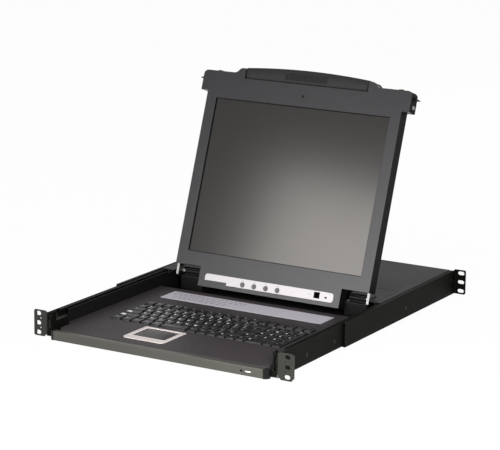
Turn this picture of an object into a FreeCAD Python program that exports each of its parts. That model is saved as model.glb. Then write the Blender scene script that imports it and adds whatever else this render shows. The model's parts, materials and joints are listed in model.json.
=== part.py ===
import FreeCAD, Part
import math
import os

# Rackmount console drawer, 1U high, in millimetres: +X right, +Y into the rack, +Z up.
# Heights are written from the underside of the rack ears. export() then moves every piece down
# by half the ear height, so the origin is the middle of the front ears' hole pattern, on their
# front faces. Pieces that come in pairs are modelled on the +X side and mirrored.
# The lid is modelled upright about its hinge axis and then leaned back to its open rest.

# ---- rack interface --------------------------------------------------------------------
ear_span = 482.6
ear_end = 5.925
ear_thickness = 1.6
ear_return = 7.0
ear_corner = 3.0
ear_chamfer = 5.0
ear_hole_inset = 4.25
ear_hole_radius = 1.4
notch_half = 2.2
notch_depth = 3.0
slot_inset = 8.75
hole_pitch = 15.875
slot_length = 10.0
slot_width = 7.0
rear_slot_length = 12.0
rear_slot_width = 6.5
rear_ear_reach = 8.0
unit_gap = 0.6

# ---- sheet metal and clearances ----------------------------------------------------------
sheet = 1.2
run_gap = 0.3
pin_gap = 0.05

# ---- side rails --------------------------------------------------------------------------
ear_reach = 24.8
rail_low = 2.0
rail_drop = 2.0
rail_end_gap = 6.0
rail_flange = 8.0
rail_flange_start = 30.0
bay_end_gap = 7.0

# ---- rear brackets -----------------------------------------------------------------------
bracket_step = 4.5
bracket_length = 411.0
bracket_lap = 1.1

# ---- telescopic slides -------------------------------------------------------------------
slide_space = 9.8
slide_low = 6.0
slide_drop = 13.0
slide_start = 4.0
middle_sheet = 1.0
middle_lip_gap = 1.5
outer_lip_gap = 2.0
middle_setback = 4.0
slide_window_start = 60.0
slide_window_length = 15.0
slide_window_pitch = 120.0
slide_window_count = 3
slide_window_low = 13.0
slide_window_high = 21.0
front_flange_low = 2.6
front_flange_drop = 1.2
corner_hole_radius = 1.7
front_slot_low = 12.0
front_slot_drop = 4.4
front_slot_width = 3.5
front_slot_inset = 1.4
corner_hole_inset = 0.6
corner_hole_drop = 2.4
gusset_depth = 14.0

# ---- tray --------------------------------------------------------------------------------
tray_low = 2.2
tray_wall_drop = 2.5
tray_wall_start = 46.0
tray_sill_high = 13.0
tray_end_reach = 59.5
hem_height = 2.5

# ---- front lip ---------------------------------------------------------------------------
lip_front = -11.0
lip_back = -1.0
lip_height = 15.5
lip_end_gap = 2.7
lip_wall = 1.6
lip_round = 1.5
cap_length = 8.5
cap_flat = 0.2
plug_length = 6.0
plug_gap = 0.1
led_inset = 38.0
led_height = 7.5
led_radius = 1.5
led_collar_half = 2.5
led_collar_length = 3.0

# ---- keyboard deck -----------------------------------------------------------------------
deck_top = 16.5
deck_skin = 2.0
deck_rear_margin = 19.0
deck_front_inset = 10.7
deck_corner = 16.0
deck_gap = 0.3
rim_wall = 2.0

# ---- keyboard ----------------------------------------------------------------------------
key_pitch_x = 16.95
key_pitch_y = 19.3
keys_pad_gap = 10.8
function_row_gap = 6.0
key_gap = 0.9
key_rise = 2.1
key_height = 4.5
key_taper = 1.5
key_travel = 2.0
stem_size = 4.0
stem_length = 5.2
plate_thickness = 2.0
plate_gap = 0.6
plate_margin = 5.0
plate_foot_half = 4.0
main_block_units = 15.0
modifier_width = 19.1
space_bar_width = 49.3

# ---- pointing pad ------------------------------------------------------------------------
pad_frame_left = -83.5
pad_frame_right = -6.0
pad_frame_front = 19.0
pad_frame_rear = 7.0
pad_frame_corner = 8.0
pad_frame_side = 9.5
pad_front_gap = 1.3
pad_depth = 48.5
pad_frame_rise = 0.8
pad_drop = 0.3
pad_flange = 2.5
pad_flange_thickness = 1.5
click_depth = 15.7
click_gap = 0.5
click_travel = 0.5
click_lift = 0.2

# ---- label strip -------------------------------------------------------------------------
strip_left = -164.0
strip_right = 148.6
strip_gap = 34.9
strip_depth = 47.0
strip_thickness = 0.6

# ---- hinge -------------------------------------------------------------------------------
hinge_deck_gap = 39.5
hinge_rise = 0.8
recline = 19.31
block_tab_gap = 1.6
block_inset = 6.7
block_half_depth = 8.5
block_drop = 6.3
block_round = 2.0
block_foot_length = 9.0
block_foot_height = 3.0
neck_half = 3.0
neck_sunk = 3.0
barrel_radius = 4.2
barrel_inner_step = 7.0
barrel_outer_step = 5.0
pin_radius = 2.0
collar_radius = 4.0
arm_thickness = 2.5
arm_front = -14.0
arm_back = 3.8
arm_low = -11.0
arm_foot_out = 0.5
arm_foot_round = 3.0
arm_high = 60.0
arm_slot_gap = 0.2

# ---- cover behind the lid ------------------------------------------------------------------
rear_cover_inset = 1.9
rear_cover_lead = 19.5
rear_cover_gap = 0.6
rear_cover_overhang = 2.0
rear_cover_leg_drop = 8.0
side_arm_gap = 1.8
hinge_bay_gap = 5.0
tab_bay_gap = 2.6
tab_bay_reach = 33.5

# ---- lid, measured from its hinge axis -----------------------------------------------------
lid_front = -20.0
lid_back = 4.0
lid_split = -8.0
lid_wall = 2.5
bezel_face = 3.0
cover_skin = 2.0
tab_half = 138.4
tab_low = -23.2
lid_side_gap = 2.0
shoulder_reach = 13.8
main_low = 10.2
lid_top_gap = 10.0
shoulder_depth = 35.9
shoulder_corner = 8.0
horn_wall = 6.5
horn_width = 15.0
horn_rise = 9.0
horn_sweep = 3.2
horn_sag = 0.35
handle_bay_half = 120.5
handle_bay_depth = 9.0
window_side = 19.7
window_sill = 24.5
window_head = 11.5
panel_margin = 5.0
panel_thickness = 14.0
sensor_gap = 18.3
sensor_radius = 1.2

# ---- lid handle ----------------------------------------------------------------------------
handle_gap = 0.9
handle_end_rise = 10.8
handle_arch = 5.5
handle_seat = 2.1
handle_proud = 0.8
handle_back_step = 0.6
handle_edge = 2.0
handle_corner = 5.0
groove_inset = 6.0
groove_rise = 2.2
groove_width = 1.2
groove_depth = 0.8
tongue_inset = 8.0
tongue_half = 5.0
rib_count = 13
rib_pitch = 6.0
rib_width = 3.0
rib_start = 3.4
rib_length = 15.0
rib_rise = 0.8

# ---- lid latches ---------------------------------------------------------------------------
latch_tip_gap = 0.4
latch_drop = 14.5
latch_tall = 5.0
latch_half_depth = 1.5
latch_travel = 10.5
blade_round = 1.2
thumb_inset = 21.5
thumb_width = 12.0
thumb_rise = 3.0
thumb_extra = 0.5
thumb_round = 1.5
keeper_reach = 6.7
keeper_gap = 0.2
keeper_thickness = 1.4
keeper_below = 0.8
keeper_tall = 7.5
keeper_foot_start = 5.0

# ---- lid controls --------------------------------------------------------------------------
control_inset = 12.4
control_top = 0.0
control_low = -16.0
control_step_low = -11.4
control_step_width = 44.0
control_thickness = 0.6
control_corner = 5.0
button_positions = (-50.3, -27.5, -4.5, 18.4)
button_height = -10.1
button_radius = 4.25
button_rise = 1.2
button_flange = 1.2
button_flange_half = 5.4
display_inset = 26.0
display_width = 11.0
display_low = -12.6
display_high = -2.0
display_thickness = 0.3
board_half = 118.0
board_low = -19.0
board_high = 6.0
board_thickness = 1.6
board_standoff = 4.0
board_post_x = 100.0
board_post_z = -6.0
board_post_half = 2.5
lid_boss_inset = 8.7
lid_boss_heights = (82.0, 190.0, 298.0)
lid_top_boss_x = 70.0
lid_top_boss_drop = 22.5
lid_boss_half = 3.0

# ---- rear switch box -------------------------------------------------------------------------
case_gap = 1.0
case_depth = 180.0
case_low = 1.0
case_wall_drop = 3.0
case_cover_flange = 8.0
case_front_drop = 4.0
case_cover_round = 0.8
board_front_gap = 10.0
board_side_gap = 7.3
board_supply_gap = 8.0
board_back_gap = 1.0
switch_board_height = 8.0
standoff_half = 2.8
standoff_inset = 8.0
standoff_back = 40.0
supply_inset = 2.0
supply_width = 74.0
supply_front_gap = 14.0
supply_inlet_gap = 4.0
supply_drop = 6.0
port_gap = 2.2
port_start = 16.0
port_height = 22.0
console_port_gap = 23.0
port_flange_half = 15.4
port_flange_tall = 6.2
port_shell_top = 8.2
port_shell_low = 6.9
port_shell_tall = 4.1
port_shell_length = 6.5
port_body_half = 12.0
port_body_tall = 4.6
port_body_depth = 10.0
port_cut_gap = 0.2
port_leg_near = 3.0
port_leg_far = 12.0
jack_x = 12.5
jack_radius = 2.6
jack_length = 4.0
usb_inset = 16.0
usb_pitch = 17.0
usb_half = 6.6
usb_tall = 2.9
usb_shell = 0.5
usb_depth = 14.0
usb_mouth = 2.0
usb_hollow = 10.0
usb_tongue_half = 5.2
usb_tongue = 1.6
inlet_inset = 9.3
inlet_width = 76.0
inlet_low = 8.5
inlet_drop = 3.5
inlet_lip = 2.0
inlet_body_inset = 3.0
inlet_body_depth = 20.0
socket_inset = 20.0
socket_width = 24.0
socket_height = 16.0
socket_depth = 16.0
socket_corner = 3.0
socket_blades = ((-7.0, 1.0), (0.0, 3.0), (7.0, 1.0))
blade_half_x = 1.0
blade_half_z = 2.0
blade_set_back = 4.0
rocker_inset = 20.0
rocker_width = 14.0
rocker_height = 20.0
rocker_tilt = 8.0
rocker_gap = 0.4
rocker_axle_radius = 1.2
rocker_axle_end = 1.7
rocker_depth = 4.0
rocker_bay_depth = 7.0
rocker_end_gap = 1.6
rocker_face = 7.5
rocker_waist = 6.2
rocker_edge = 3.5
rocker_foot_half = 3.0
ground_screw_inset = 7.8
ground_screw_height = 33.0
ground_shank_radius = 2.0
ground_shank_length = 6.0
ground_head_radius = 4.0
ground_head_length = 3.0

X = FreeCAD.Vector(1, 0, 0)
Y = FreeCAD.Vector(0, 1, 0)
Z = FreeCAD.Vector(0, 0, 1)
ORIGIN = FreeCAD.Vector(0, 0, 0)

# Heights that follow from the rack unit's three holes.
ear_height = 2 * (hole_pitch + ear_end)
slot_heights = (ear_height / 2 - hole_pitch, ear_height / 2, ear_height / 2 + hole_pitch)
unit_height = ear_height - unit_gap
rail_high = unit_height - rail_drop
slide_high = rail_high - slide_drop
front_flange_high = ear_height - front_flange_drop
front_slot_high = front_flange_high - front_slot_drop
tray_floor = tray_low + sheet
tray_wall_high = rail_high - tray_wall_drop
hinge_height = tray_wall_high + hinge_rise
block_top = hinge_height - block_drop
deck_under = deck_top - deck_skin
key_top = deck_top + key_rise
plate_top = key_top - key_height - key_travel - plate_gap
pad_frame_top = deck_top + pad_frame_rise
pad_top = deck_top - pad_drop
cover_low = unit_height - sheet
rear_cover_leg = unit_height - rear_cover_leg_drop
case_floor = case_low + sheet
case_wall_high = unit_height - case_wall_drop
case_front_high = case_wall_high - case_front_drop
board_top = switch_board_height + board_thickness
supply_high = case_wall_high - supply_drop
inlet_high = case_wall_high - inlet_drop
inlet_middle = (inlet_low + inlet_high) / 2

# Widths, from the rack ears in to the middle.
hole_spacing_x = ear_span - 2 * slot_inset
ear_hole_x = hole_spacing_x / 2 - ear_hole_inset
rail_half = ear_span / 2 - ear_reach
web_inner = rail_half - sheet
bracket_half = rail_half + bracket_step
tray_half = rail_half - slide_space
tray_inner = tray_half - sheet
lip_half = tray_half - lip_end_gap - cap_length
cap_corner = cap_length - cap_flat
led_x = lip_half - led_inset
deck_half = tray_inner - deck_gap
deck_front_half = tray_half - deck_front_inset
keyboard_half = 9.5 * key_pitch_x
pad_left = pad_frame_left + pad_frame_side
pad_right = pad_frame_right - pad_frame_side
rear_cover_half = tray_inner - rear_cover_inset
wing_start = rear_cover_half + rear_cover_gap
shoulder_half = tray_inner - lid_side_gap
main_half = shoulder_half - shoulder_reach
side_arm_inner = main_half + side_arm_gap
tab_bay_half = tab_half + tab_bay_gap
window_half = main_half - window_side
arm_x = (main_half - lid_wall - arm_thickness, main_half - lid_wall)
block_inner = tab_half + block_tab_gap
block_outer = main_half - block_inset
barrel_inner = block_inner + barrel_inner_step
barrel_outer = block_outer - barrel_outer_step
handle_half = handle_bay_half - handle_gap
horn_inner = handle_bay_half + horn_wall
horn_outer = horn_inner + horn_width
control_half = tab_half - control_inset
control_step_x = control_step_width - control_half
display_right = control_half - display_inset
display_left = display_right - display_width
latch_tip = web_inner - latch_tip_gap
thumb_outer = shoulder_half - thumb_inset
latch_inner = thumb_outer - thumb_width
keeper_inner = web_inner - keeper_reach

# Widths of the switch box, from its walls to its sockets.
board_left = board_side_gap - web_inner
inlet_right = web_inner - inlet_inset
inlet_left = inlet_right - inlet_width
socket_centre = inlet_left + socket_inset
rocker_centre = inlet_right - rocker_inset
supply_right = inlet_right - supply_inset
supply_left = supply_right - supply_width
board_right = supply_left - board_supply_gap
usb_positions = (inlet_left - usb_inset - usb_pitch, inlet_left - usb_inset)
console_port_x = usb_positions[0] - console_port_gap
port_first_x = board_left + port_start
port_pitch = 2 * port_flange_half + port_gap
port_count = int((console_port_x - port_first_x) / port_pitch)
ground_screw_x = ground_screw_inset - web_inner

# Depths, from the lip back to the rear ears.
click_back = pad_frame_front + click_depth
pad_front = click_back + pad_front_gap
pad_back = pad_front + pad_depth
pad_frame_back = pad_back + pad_frame_rear
keys_front = pad_frame_back + keys_pad_gap
rows_y = [keys_front + row * key_pitch_y for row in range(5)]
rows_y.append(rows_y[-1] + key_pitch_y + function_row_gap)
keys_back = rows_y[-1] + key_pitch_y
strip_front = keys_back + strip_gap
strip_back = strip_front + strip_depth
deck_rear = strip_back + deck_rear_margin
hinge_y = deck_rear + hinge_deck_gap
block_front = hinge_y - block_half_depth
block_back = hinge_y + block_half_depth
hinge_bay_back = block_back + hinge_bay_gap
tab_bay_back = hinge_y + tab_bay_reach
rear_cover_start = hinge_y - rear_cover_lead
tray_end = hinge_y + tray_end_reach
bay_depth = tray_end + bay_end_gap
case_front = bay_depth + case_gap
case_back = case_front + case_depth
board_y_front = case_front + board_front_gap
supply_front = case_front + supply_front_gap
supply_back = case_back - inlet_body_depth - supply_inlet_gap
rocker_pivot_y = case_back - rocker_depth
rail_length = case_back - rail_end_gap
rack_depth = case_back + rear_ear_reach
bracket_start = rack_depth - bracket_length

# The lid reaches from its axis to just behind the front lip when it is down.
lid_top = hinge_y - lid_top_gap
shoulder_low = lid_top - shoulder_depth
window_low = main_low + window_sill
window_high = shoulder_low - window_head
sensor_height = window_high + sensor_gap
lid_boss_spots = [(main_half - lid_boss_inset, height) for height in lid_boss_heights]
lid_boss_spots.append((lid_top_boss_x, lid_top - lid_top_boss_drop))
horn_top = lid_top + horn_rise
handle_bay_low = lid_top - handle_bay_depth
handle_low = handle_bay_low + handle_seat
handle_end_top = lid_top + handle_end_rise
handle_mid_top = handle_end_top + handle_arch
handle_front = lid_front - handle_proud
handle_back = lid_back - handle_back_step
rib_low = handle_low + rib_start
rib_high = rib_low + rib_length
latch_low = lid_top - latch_drop
latch_high = latch_low + latch_tall
latch_front = lid_split - latch_half_depth
latch_back = lid_split + latch_half_depth
thumb_high = lid_top + thumb_rise
keeper_front = hinge_y - latch_high - keeper_gap - keeper_thickness
keeper_low = hinge_height + latch_front - keeper_below
keeper_high = keeper_low + keeper_tall

# The slide members nest from the tray's wall out to the rail's web.
slide_middle_x = (tray_half + middle_lip_gap, web_inner - sheet - run_gap)
slide_middle_z = (slide_low + sheet + run_gap, slide_high - sheet - run_gap)
slide_inner_x = (tray_half, slide_middle_x[1] - middle_sheet - run_gap)
slide_inner_z = (slide_middle_z[0] + middle_sheet + run_gap, slide_middle_z[1] - middle_sheet - run_gap)


# ---- modelling helpers -------------------------------------------------------------------
def block(x, y, z):
    """A box from three (low, high) pairs."""
    return Part.makeBox(x[1] - x[0], y[1] - y[0], z[1] - z[0], FreeCAD.Vector(x[0], y[0], z[0]))


def rod(radius, length, place, direction):
    """A round bar that starts at place and runs along direction."""
    return Part.makeCylinder(radius, length, FreeCAD.Vector(*place), direction)


def join(pieces):
    """One solid from pieces that touch or overlap."""
    return pieces[0].multiFuse(pieces[1:]).removeSplitter() if len(pieces) > 1 else pieces[0]


def mirrored(shape):
    """The same piece for the -X side."""
    return shape.mirror(ORIGIN, X)


def rounded(shape, radius, direction, keep=None):
    """Round the edges that run along direction, or only those that keep accepts."""
    edges = []
    for edge in shape.Edges:
        if len(edge.Vertexes) != 2:
            continue
        run = edge.Vertexes[1].Point - edge.Vertexes[0].Point
        if abs(abs(run.dot(direction)) - run.Length) > 1e-6:
            continue
        if keep is None or keep(edge.CenterOfMass):
            edges.append(edge)
    return shape.makeFillet(radius, edges)


def outline(points):
    """A closed wire of straight runs. A point given as (middle, end) is reached by an arc."""
    edges = []
    here = FreeCAD.Vector(*points[0])
    for step in points[1:] + [points[0]]:
        if isinstance(step[0], tuple):
            middle = FreeCAD.Vector(*step[0])
            end = FreeCAD.Vector(*step[1])
            edges.append(Part.Arc(here, middle, end).toShape())
        else:
            end = FreeCAD.Vector(*step)
            if (end - here).Length > 1e-7:
                edges.append(Part.LineSegment(here, end).toShape())
        here = end
    return Part.Wire(edges)


def prism(wire, run):
    """The solid that a closed flat wire sweeps along run."""
    return Part.Face(wire).extrude(run)


def slot(length, width, x, y, z):
    """A round-ended cutter, length along X by width along Z, through from y[0] to y[1]."""
    radius = min(length, width) / 2
    right = x + length / 2 - radius
    left = x - length / 2 + radius
    top = z + width / 2 - radius
    low = z - width / 2 + radius
    if length > width:
        points = [(left, y[0], z - radius), (right, y[0], z - radius),
                  ((right + radius, y[0], z), (right, y[0], z + radius)), (left, y[0], z + radius),
                  ((left - radius, y[0], z), (left, y[0], z - radius))]
    else:
        points = [(x + radius, y[0], low), (x + radius, y[0], top),
                  ((x, y[0], top + radius), (x - radius, y[0], top)), (x - radius, y[0], low),
                  ((x, y[0], low - radius), (x + radius, y[0], low))]
    return prism(outline(points), Y * (y[1] - y[0]))


def post(half, x, y, z):
    """A square post or cutter of a given half width about x and z, or about x and y."""
    if isinstance(y, tuple):
        return block((x - half, x + half), y, (z - half, z + half))
    return block((x - half, x + half), (y - half, y + half), z)


def hex_bar(radius, length, place, direction):
    """A hexagonal bar that starts at place and runs along direction."""
    turn = FreeCAD.Rotation(Z, direction)
    corners = []
    for index in range(7):
        angle = math.radians(60 * index)
        corner = FreeCAD.Vector(radius * math.cos(angle), radius * math.sin(angle), 0)
        corners.append(turn.multVec(corner) + FreeCAD.Vector(*place))
    return prism(Part.Wire(Part.makePolygon(corners)), direction * length)


def export(name, solids):
    """Write one node, moved so that the origin is at half the ear height."""
    shape = solids[0] if len(solids) == 1 else Part.makeCompound(solids)
    placed = shape.copy()
    placed.translate(Z * (-ear_height / 2))
    placed.exportStep("parts/" + name + ".step")


# ---- chassis -----------------------------------------------------------------------------
def rack_ear(y, x_inner, slot_size, slot_across):
    """An ear plate between two Y values, from x_inner to the ear's outer edge."""
    outer = ear_span / 2
    plate = block((x_inner, outer), y, (0, ear_height))
    plate = rounded(plate, ear_corner, Y, lambda place: place.x > outer - 1)
    for height in slot_heights:
        through = (y[0] - 1, y[1] + 1)
        plate = plate.cut(slot(slot_size, slot_across, hole_spacing_x / 2, through, height))
    return plate


def front_ear():
    """The rail's front ear: chamfered below the bend, notched above it, with two small holes."""
    ear = rack_ear((0, ear_thickness), web_inner, slot_length, slot_width)
    through = Y * (ear_thickness + 2)
    inner = web_inner - 1
    foot = outline([(inner, -1, -1), (rail_half + ear_chamfer + 1, -1, -1), (rail_half, -1, ear_chamfer),
                    (inner, -1, ear_chamfer)])
    notch = outline([(rail_half - notch_half, -1, ear_height), (rail_half, -1, ear_height - notch_depth),
                     (rail_half + notch_half, -1, ear_height)])
    ear = ear.cut(prism(foot, through)).cut(prism(notch, through))
    for height in (ear_height / 2 - hole_pitch / 2, ear_height / 2 + hole_pitch / 2):
        ear = ear.cut(rod(ear_hole_radius, ear_thickness + 2, (ear_hole_x, -1, height), Y))
    return ear


def side_rail():
    """The fixed rail: web, top and bottom flanges, and the front ear with its stiffening return."""
    web = block((web_inner, rail_half), (0, rail_length), (rail_low, rail_high))
    flange_x = (rail_half - rail_flange, rail_half)
    flange_y = (rail_flange_start, bay_depth)
    top = block(flange_x, flange_y, (rail_high - sheet, rail_high))
    bottom = block(flange_x, flange_y, (rail_low, rail_low + sheet))
    edge = block((ear_span / 2 - ear_thickness, ear_span / 2), (0, ear_return),
                 (ear_corner, ear_height - ear_corner))
    return join([web, top, bottom, front_ear(), edge])


def latch_keeper():
    """The stop on the rail that a lid latch sits behind when the lid is down."""
    stop = block((keeper_inner, web_inner), (keeper_front, keeper_front + keeper_thickness),
                 (keeper_low, keeper_high))
    foot = block((web_inner - sheet, web_inner), (keeper_foot_start, keeper_front),
                 (keeper_low, keeper_high))
    return join([stop, foot])


def rear_bracket():
    """The sliding rear bracket: a channel around the rail that ends in the rear ear."""
    inner = rail_half - bracket_lap
    web = block((bracket_half - sheet, bracket_half), (bracket_start, rack_depth),
                (rail_low - run_gap - sheet, rail_high + run_gap + sheet))
    top = block((inner, bracket_half), (bracket_start, case_back),
                (rail_high + run_gap, rail_high + run_gap + sheet))
    bottom = block((inner, bracket_half), (bracket_start, case_back),
                   (rail_low - run_gap - sheet, rail_low - run_gap))
    ear = rack_ear((rack_depth - ear_thickness, rack_depth), bracket_half - sheet,
                   rear_slot_length, rear_slot_width)
    return join([web, top, bottom, ear])


# ---- telescopic slides -------------------------------------------------------------------
def channel(x, y, z, wall, opens_out):
    """A C channel along Y. Its web is on the low X side when it opens outwards."""
    body = block(x, y, z)
    if opens_out:
        hollow = block((x[0] + wall, x[1] + 1), (y[0] - 1, y[1] + 1), (z[0] + wall, z[1] - wall))
    else:
        hollow = block((x[0] - 1, x[1] - wall), (y[0] - 1, y[1] + 1), (z[0] + wall, z[1] - wall))
    return body.cut(hollow)


def slide_outer():
    """The slide member that is fixed to the rail."""
    x = (tray_half + outer_lip_gap, web_inner)
    return channel(x, (slide_start, bay_depth), (slide_low, slide_high), sheet, False)


def slide_middle():
    """The member that travels half as far as the drawer, with windows in its web."""
    y = (slide_start, bay_depth - middle_setback)
    member = channel(slide_middle_x, y, slide_middle_z, middle_sheet, False)
    for index in range(slide_window_count):
        start = slide_window_start + index * slide_window_pitch
        member = member.cut(block((slide_middle_x[1] - 2, slide_middle_x[1] + 1),
                                  (start, start + slide_window_length),
                                  (slide_window_low, slide_window_high)))
    return member


def slide_inner():
    """The member on the tray wall. Its front end is bent out into a slotted closing flange."""
    member = channel(slide_inner_x, (-sheet, tray_end), slide_inner_z, sheet, True)
    flange_z = (front_flange_low, front_flange_high)
    gusset_x = (tray_half, tray_half + sheet)
    gusset = block(gusset_x, (-sheet, gusset_depth), flange_z)
    flange = block((tray_half, web_inner - run_gap), (-sheet, 0), flange_z)
    slot_left = gusset_x[1] + front_slot_inset
    slot_right = slot_left + front_slot_width
    through = (-sheet - 1, 1)
    opening = slot(front_slot_width, front_slot_high - front_slot_low, (slot_left + slot_right) / 2,
                   through, (front_slot_low + front_slot_high) / 2)
    relief = block((slot_left, slide_inner_x[1] + 1), (-sheet - 1, gusset_depth), (0, ear_height))
    hole = rod(corner_hole_radius, sheet + 2,
               (slot_right + corner_hole_inset, through[0], front_flange_high - corner_hole_drop), Y)
    return join([member.cut(relief), gusset, flange.cut(opening).cut(hole)])


# ---- drawer ------------------------------------------------------------------------------
def tray_pan():
    """The drawer's sheet tray: floor, low sills in front, hemmed side walls and a rear wall."""
    floor = block((-tray_half, tray_half), (lip_back, tray_end), (tray_low, tray_floor))
    wall = block((tray_inner, tray_half), (tray_wall_start, tray_end), (tray_low, tray_wall_high))
    hem = block((tray_inner - sheet, tray_inner), (tray_wall_start, rear_cover_start - run_gap),
                (tray_wall_high - hem_height, tray_wall_high))
    sill = block((tray_inner, tray_half), (gusset_depth + 1, tray_wall_start), (tray_low, tray_sill_high))
    rear = block((-tray_half, tray_half), (tray_end - sheet, tray_end), (tray_low, tray_wall_high))
    sides = [wall, hem, sill]
    sides += [mirrored(side) for side in sides]
    return join([floor, rear] + sides)


def front_lip():
    """The extruded front lip, open behind, with the lamp's hole."""
    y = (lip_front, lip_back)
    body = block((-lip_half, lip_half), y, (0, lip_height))
    body = rounded(body, lip_round, X, lambda place: place.y < lip_front + 1)
    hollow = block((-lip_half - 1, lip_half + 1), (lip_front + lip_wall, lip_back + 1),
                   (lip_wall, lip_height - lip_wall))
    return body.cut(hollow).cut(rod(led_radius, 4, (led_x, lip_front - 1, led_height), Y))


def lip_end_cap():
    """The moulded end of the lip: rounded outside, with a plug that fills the extrusion."""
    outer = lip_half + cap_length
    body = block((lip_half, outer), (lip_front, lip_back), (0, lip_height))
    body = rounded(body, cap_corner, Z, lambda place: place.x > outer - 1 and place.y < lip_front + 1)
    inset = lip_wall + plug_gap
    plug = block((lip_half - plug_length, lip_half), (lip_front + inset, lip_back),
                 (inset, lip_height - inset))
    return join([body, plug])


def power_led():
    """The lamp in the lip, with a collar behind the face."""
    lens = rod(led_radius - pin_gap, lip_wall, (led_x, lip_front, led_height), Y)
    back = lip_front + lip_wall
    collar = post(led_collar_half, led_x, (back, back + led_collar_length), led_height)
    return join([lens, collar])


def pad_flange_box(z):
    """The rectangle under the pointing pad frame."""
    return block((pad_frame_left - pad_flange, pad_frame_right + pad_flange),
                 (pad_frame_front - pad_flange, pad_frame_back + pad_flange), z)


def keyboard_deck():
    """The moulded deck: a skin with skirts, an opening for the keys and one for the pad frame."""
    front = block((-deck_front_half, deck_front_half), (lip_back, tray_wall_start + 1),
                  (tray_floor, deck_top))
    front = rounded(front, deck_corner, Z, lambda place: place.y < 0)
    main = block((-deck_half, deck_half), (tray_wall_start, deck_rear), (tray_floor, deck_top))
    deck = join([front, main])
    under = (tray_floor - 1, deck_under)
    corner = deck_corner - deck_skin
    hollow_front = block((-deck_front_half + deck_skin, deck_front_half - deck_skin),
                         (lip_back + deck_skin, tray_wall_start + 5), under)
    hollow_front = rounded(hollow_front, corner, Z, lambda place: place.y < 10)
    hollow_main = block((-deck_half + deck_skin, deck_half - deck_skin),
                        (tray_wall_start + deck_skin, deck_rear - deck_skin), under)
    deck = deck.cut(join([hollow_front, hollow_main]))
    keys_x = (-keyboard_half - key_gap, keyboard_half + key_gap)
    keys_y = (keys_front - key_gap, keys_back + key_gap)
    rim = block((keys_x[0] - rim_wall, keys_x[1] + rim_wall), (keys_y[0] - rim_wall, keys_y[1] + rim_wall),
                (plate_top, deck_under))
    deck = join([deck, rim]).cut(block(keys_x, keys_y, (0, deck_top + 1)))
    opening = block((pad_frame_left - click_gap, pad_frame_right + click_gap),
                    (pad_frame_front - click_gap, pad_frame_back + click_gap), (0, deck_top + 1))
    return deck.cut(rounded(opening, pad_frame_corner + click_gap, Z, lambda place: place.y < pad_front))


def key_row_units(row):
    """The keys of one row as (left edge, width), front row first, without the space bar."""
    widths = [[], [2.25] + 10 * [1] + [1.75, 1], [1.75] + 11 * [1] + [2.25],
              [1.5] + 12 * [1] + [1.5], 13 * [1] + [2], 15 * [1]]
    left = -keyboard_half
    keys = []
    if row == 0:
        for index in range(5):
            keys.append((left + index * modifier_width, modifier_width))
        start = left + 5 * modifier_width + space_bar_width
        for index in range(3):
            keys.append((start + index * modifier_width, modifier_width))
        start += 3 * modifier_width
        arrow = (left + main_block_units * key_pitch_x - start) / 3
        for index in range(3):
            keys.append((start + index * arrow, arrow))
        numbers = [2, 1, 1]
    else:
        for units in widths[row]:
            keys.append((left, units * key_pitch_x))
            left += units * key_pitch_x
        numbers = [1, 1, 1, 1]
    start = -keyboard_half + main_block_units * key_pitch_x
    for units in numbers:
        keys.append((start, units * key_pitch_x))
        start += units * key_pitch_x
    return keys


def key_stem_box(left, width, front, margin, z):
    """The square stem under one key, or its guide hole when margin is positive."""
    return post(stem_size / 2 + margin, left + width / 2, front + key_pitch_y / 2, z)


def key_cap(left, width, front):
    """One key: a tapered cap on a square stem."""
    x = (left + key_gap / 2, left + width - key_gap / 2)
    y = (front + key_gap / 2, front + key_pitch_y - key_gap / 2)
    low = key_top - key_height
    cap = Part.makeWedge(x[0], low, y[0], y[0] + key_taper, x[0] + key_taper,
                         x[1], key_top, y[1], y[1] - key_taper, x[1] - key_taper)
    cap = cap.transformGeometry(FreeCAD.Matrix(1, 0, 0, 0, 0, 0, 1, 0, 0, 1, 0, 0, 0, 0, 0, 1))
    stem = key_stem_box(left, width, front, 0, (low - stem_length, low))
    return join([cap, stem])


def space_bar_place():
    """The space bar's (left edge, width)."""
    return (-keyboard_half + 5 * modifier_width, space_bar_width)


def key_plate():
    """The guide plate under the keys: a slot for each row's stems, and feet on the tray floor."""
    x = (-keyboard_half - plate_margin, keyboard_half + plate_margin)
    y = (keys_front - plate_margin, keys_back + plate_margin)
    z = (plate_top - plate_thickness, plate_top)
    plate = block(x, y, z)
    for row_y in rows_y:
        left = key_stem_box(-keyboard_half, key_pitch_x, row_y, run_gap, (z[0] - 1, z[1] + 1)).BoundBox
        plate = plate.cut(block((left.XMin, -left.XMin), (left.YMin, left.YMax), (left.ZMin, left.ZMax)))
    feet = []
    for foot_x in (x[0] + plate_foot_half, x[1] - plate_foot_half):
        for foot_y in (y[0] + plate_foot_half, y[1] - plate_foot_half):
            feet.append(post(plate_foot_half, foot_x, foot_y, (tray_floor, z[0])))
    return join([plate] + feet)


def pad_frame():
    """The pale frame of the pointing pad, on a flange that sits under the deck."""
    floor_z = (deck_under - pad_flange_thickness, deck_under)
    frame = block((pad_frame_left, pad_frame_right), (click_back + click_gap, pad_frame_back),
                  (deck_under, pad_frame_top))
    frame = frame.cut(block((pad_left, pad_right), (pad_front, pad_back), (deck_under, pad_frame_top + 1)))
    return join([pad_flange_box(floor_z), frame])


def pad_plate():
    """The pointing pad itself, seated on the frame's floor."""
    return block((pad_left, pad_right), (pad_front, pad_back), (deck_under, pad_top))


def click_button(x, corner_x):
    """One of the two buttons that make up the frame's front band."""
    low = deck_under + click_travel + click_lift
    body = block(x, (pad_frame_front, click_back), (low, pad_frame_top))
    return rounded(body, pad_frame_corner, Z,
                   lambda place: abs(place.x - corner_x) < 1 and place.y < pad_frame_front + 1)


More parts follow.
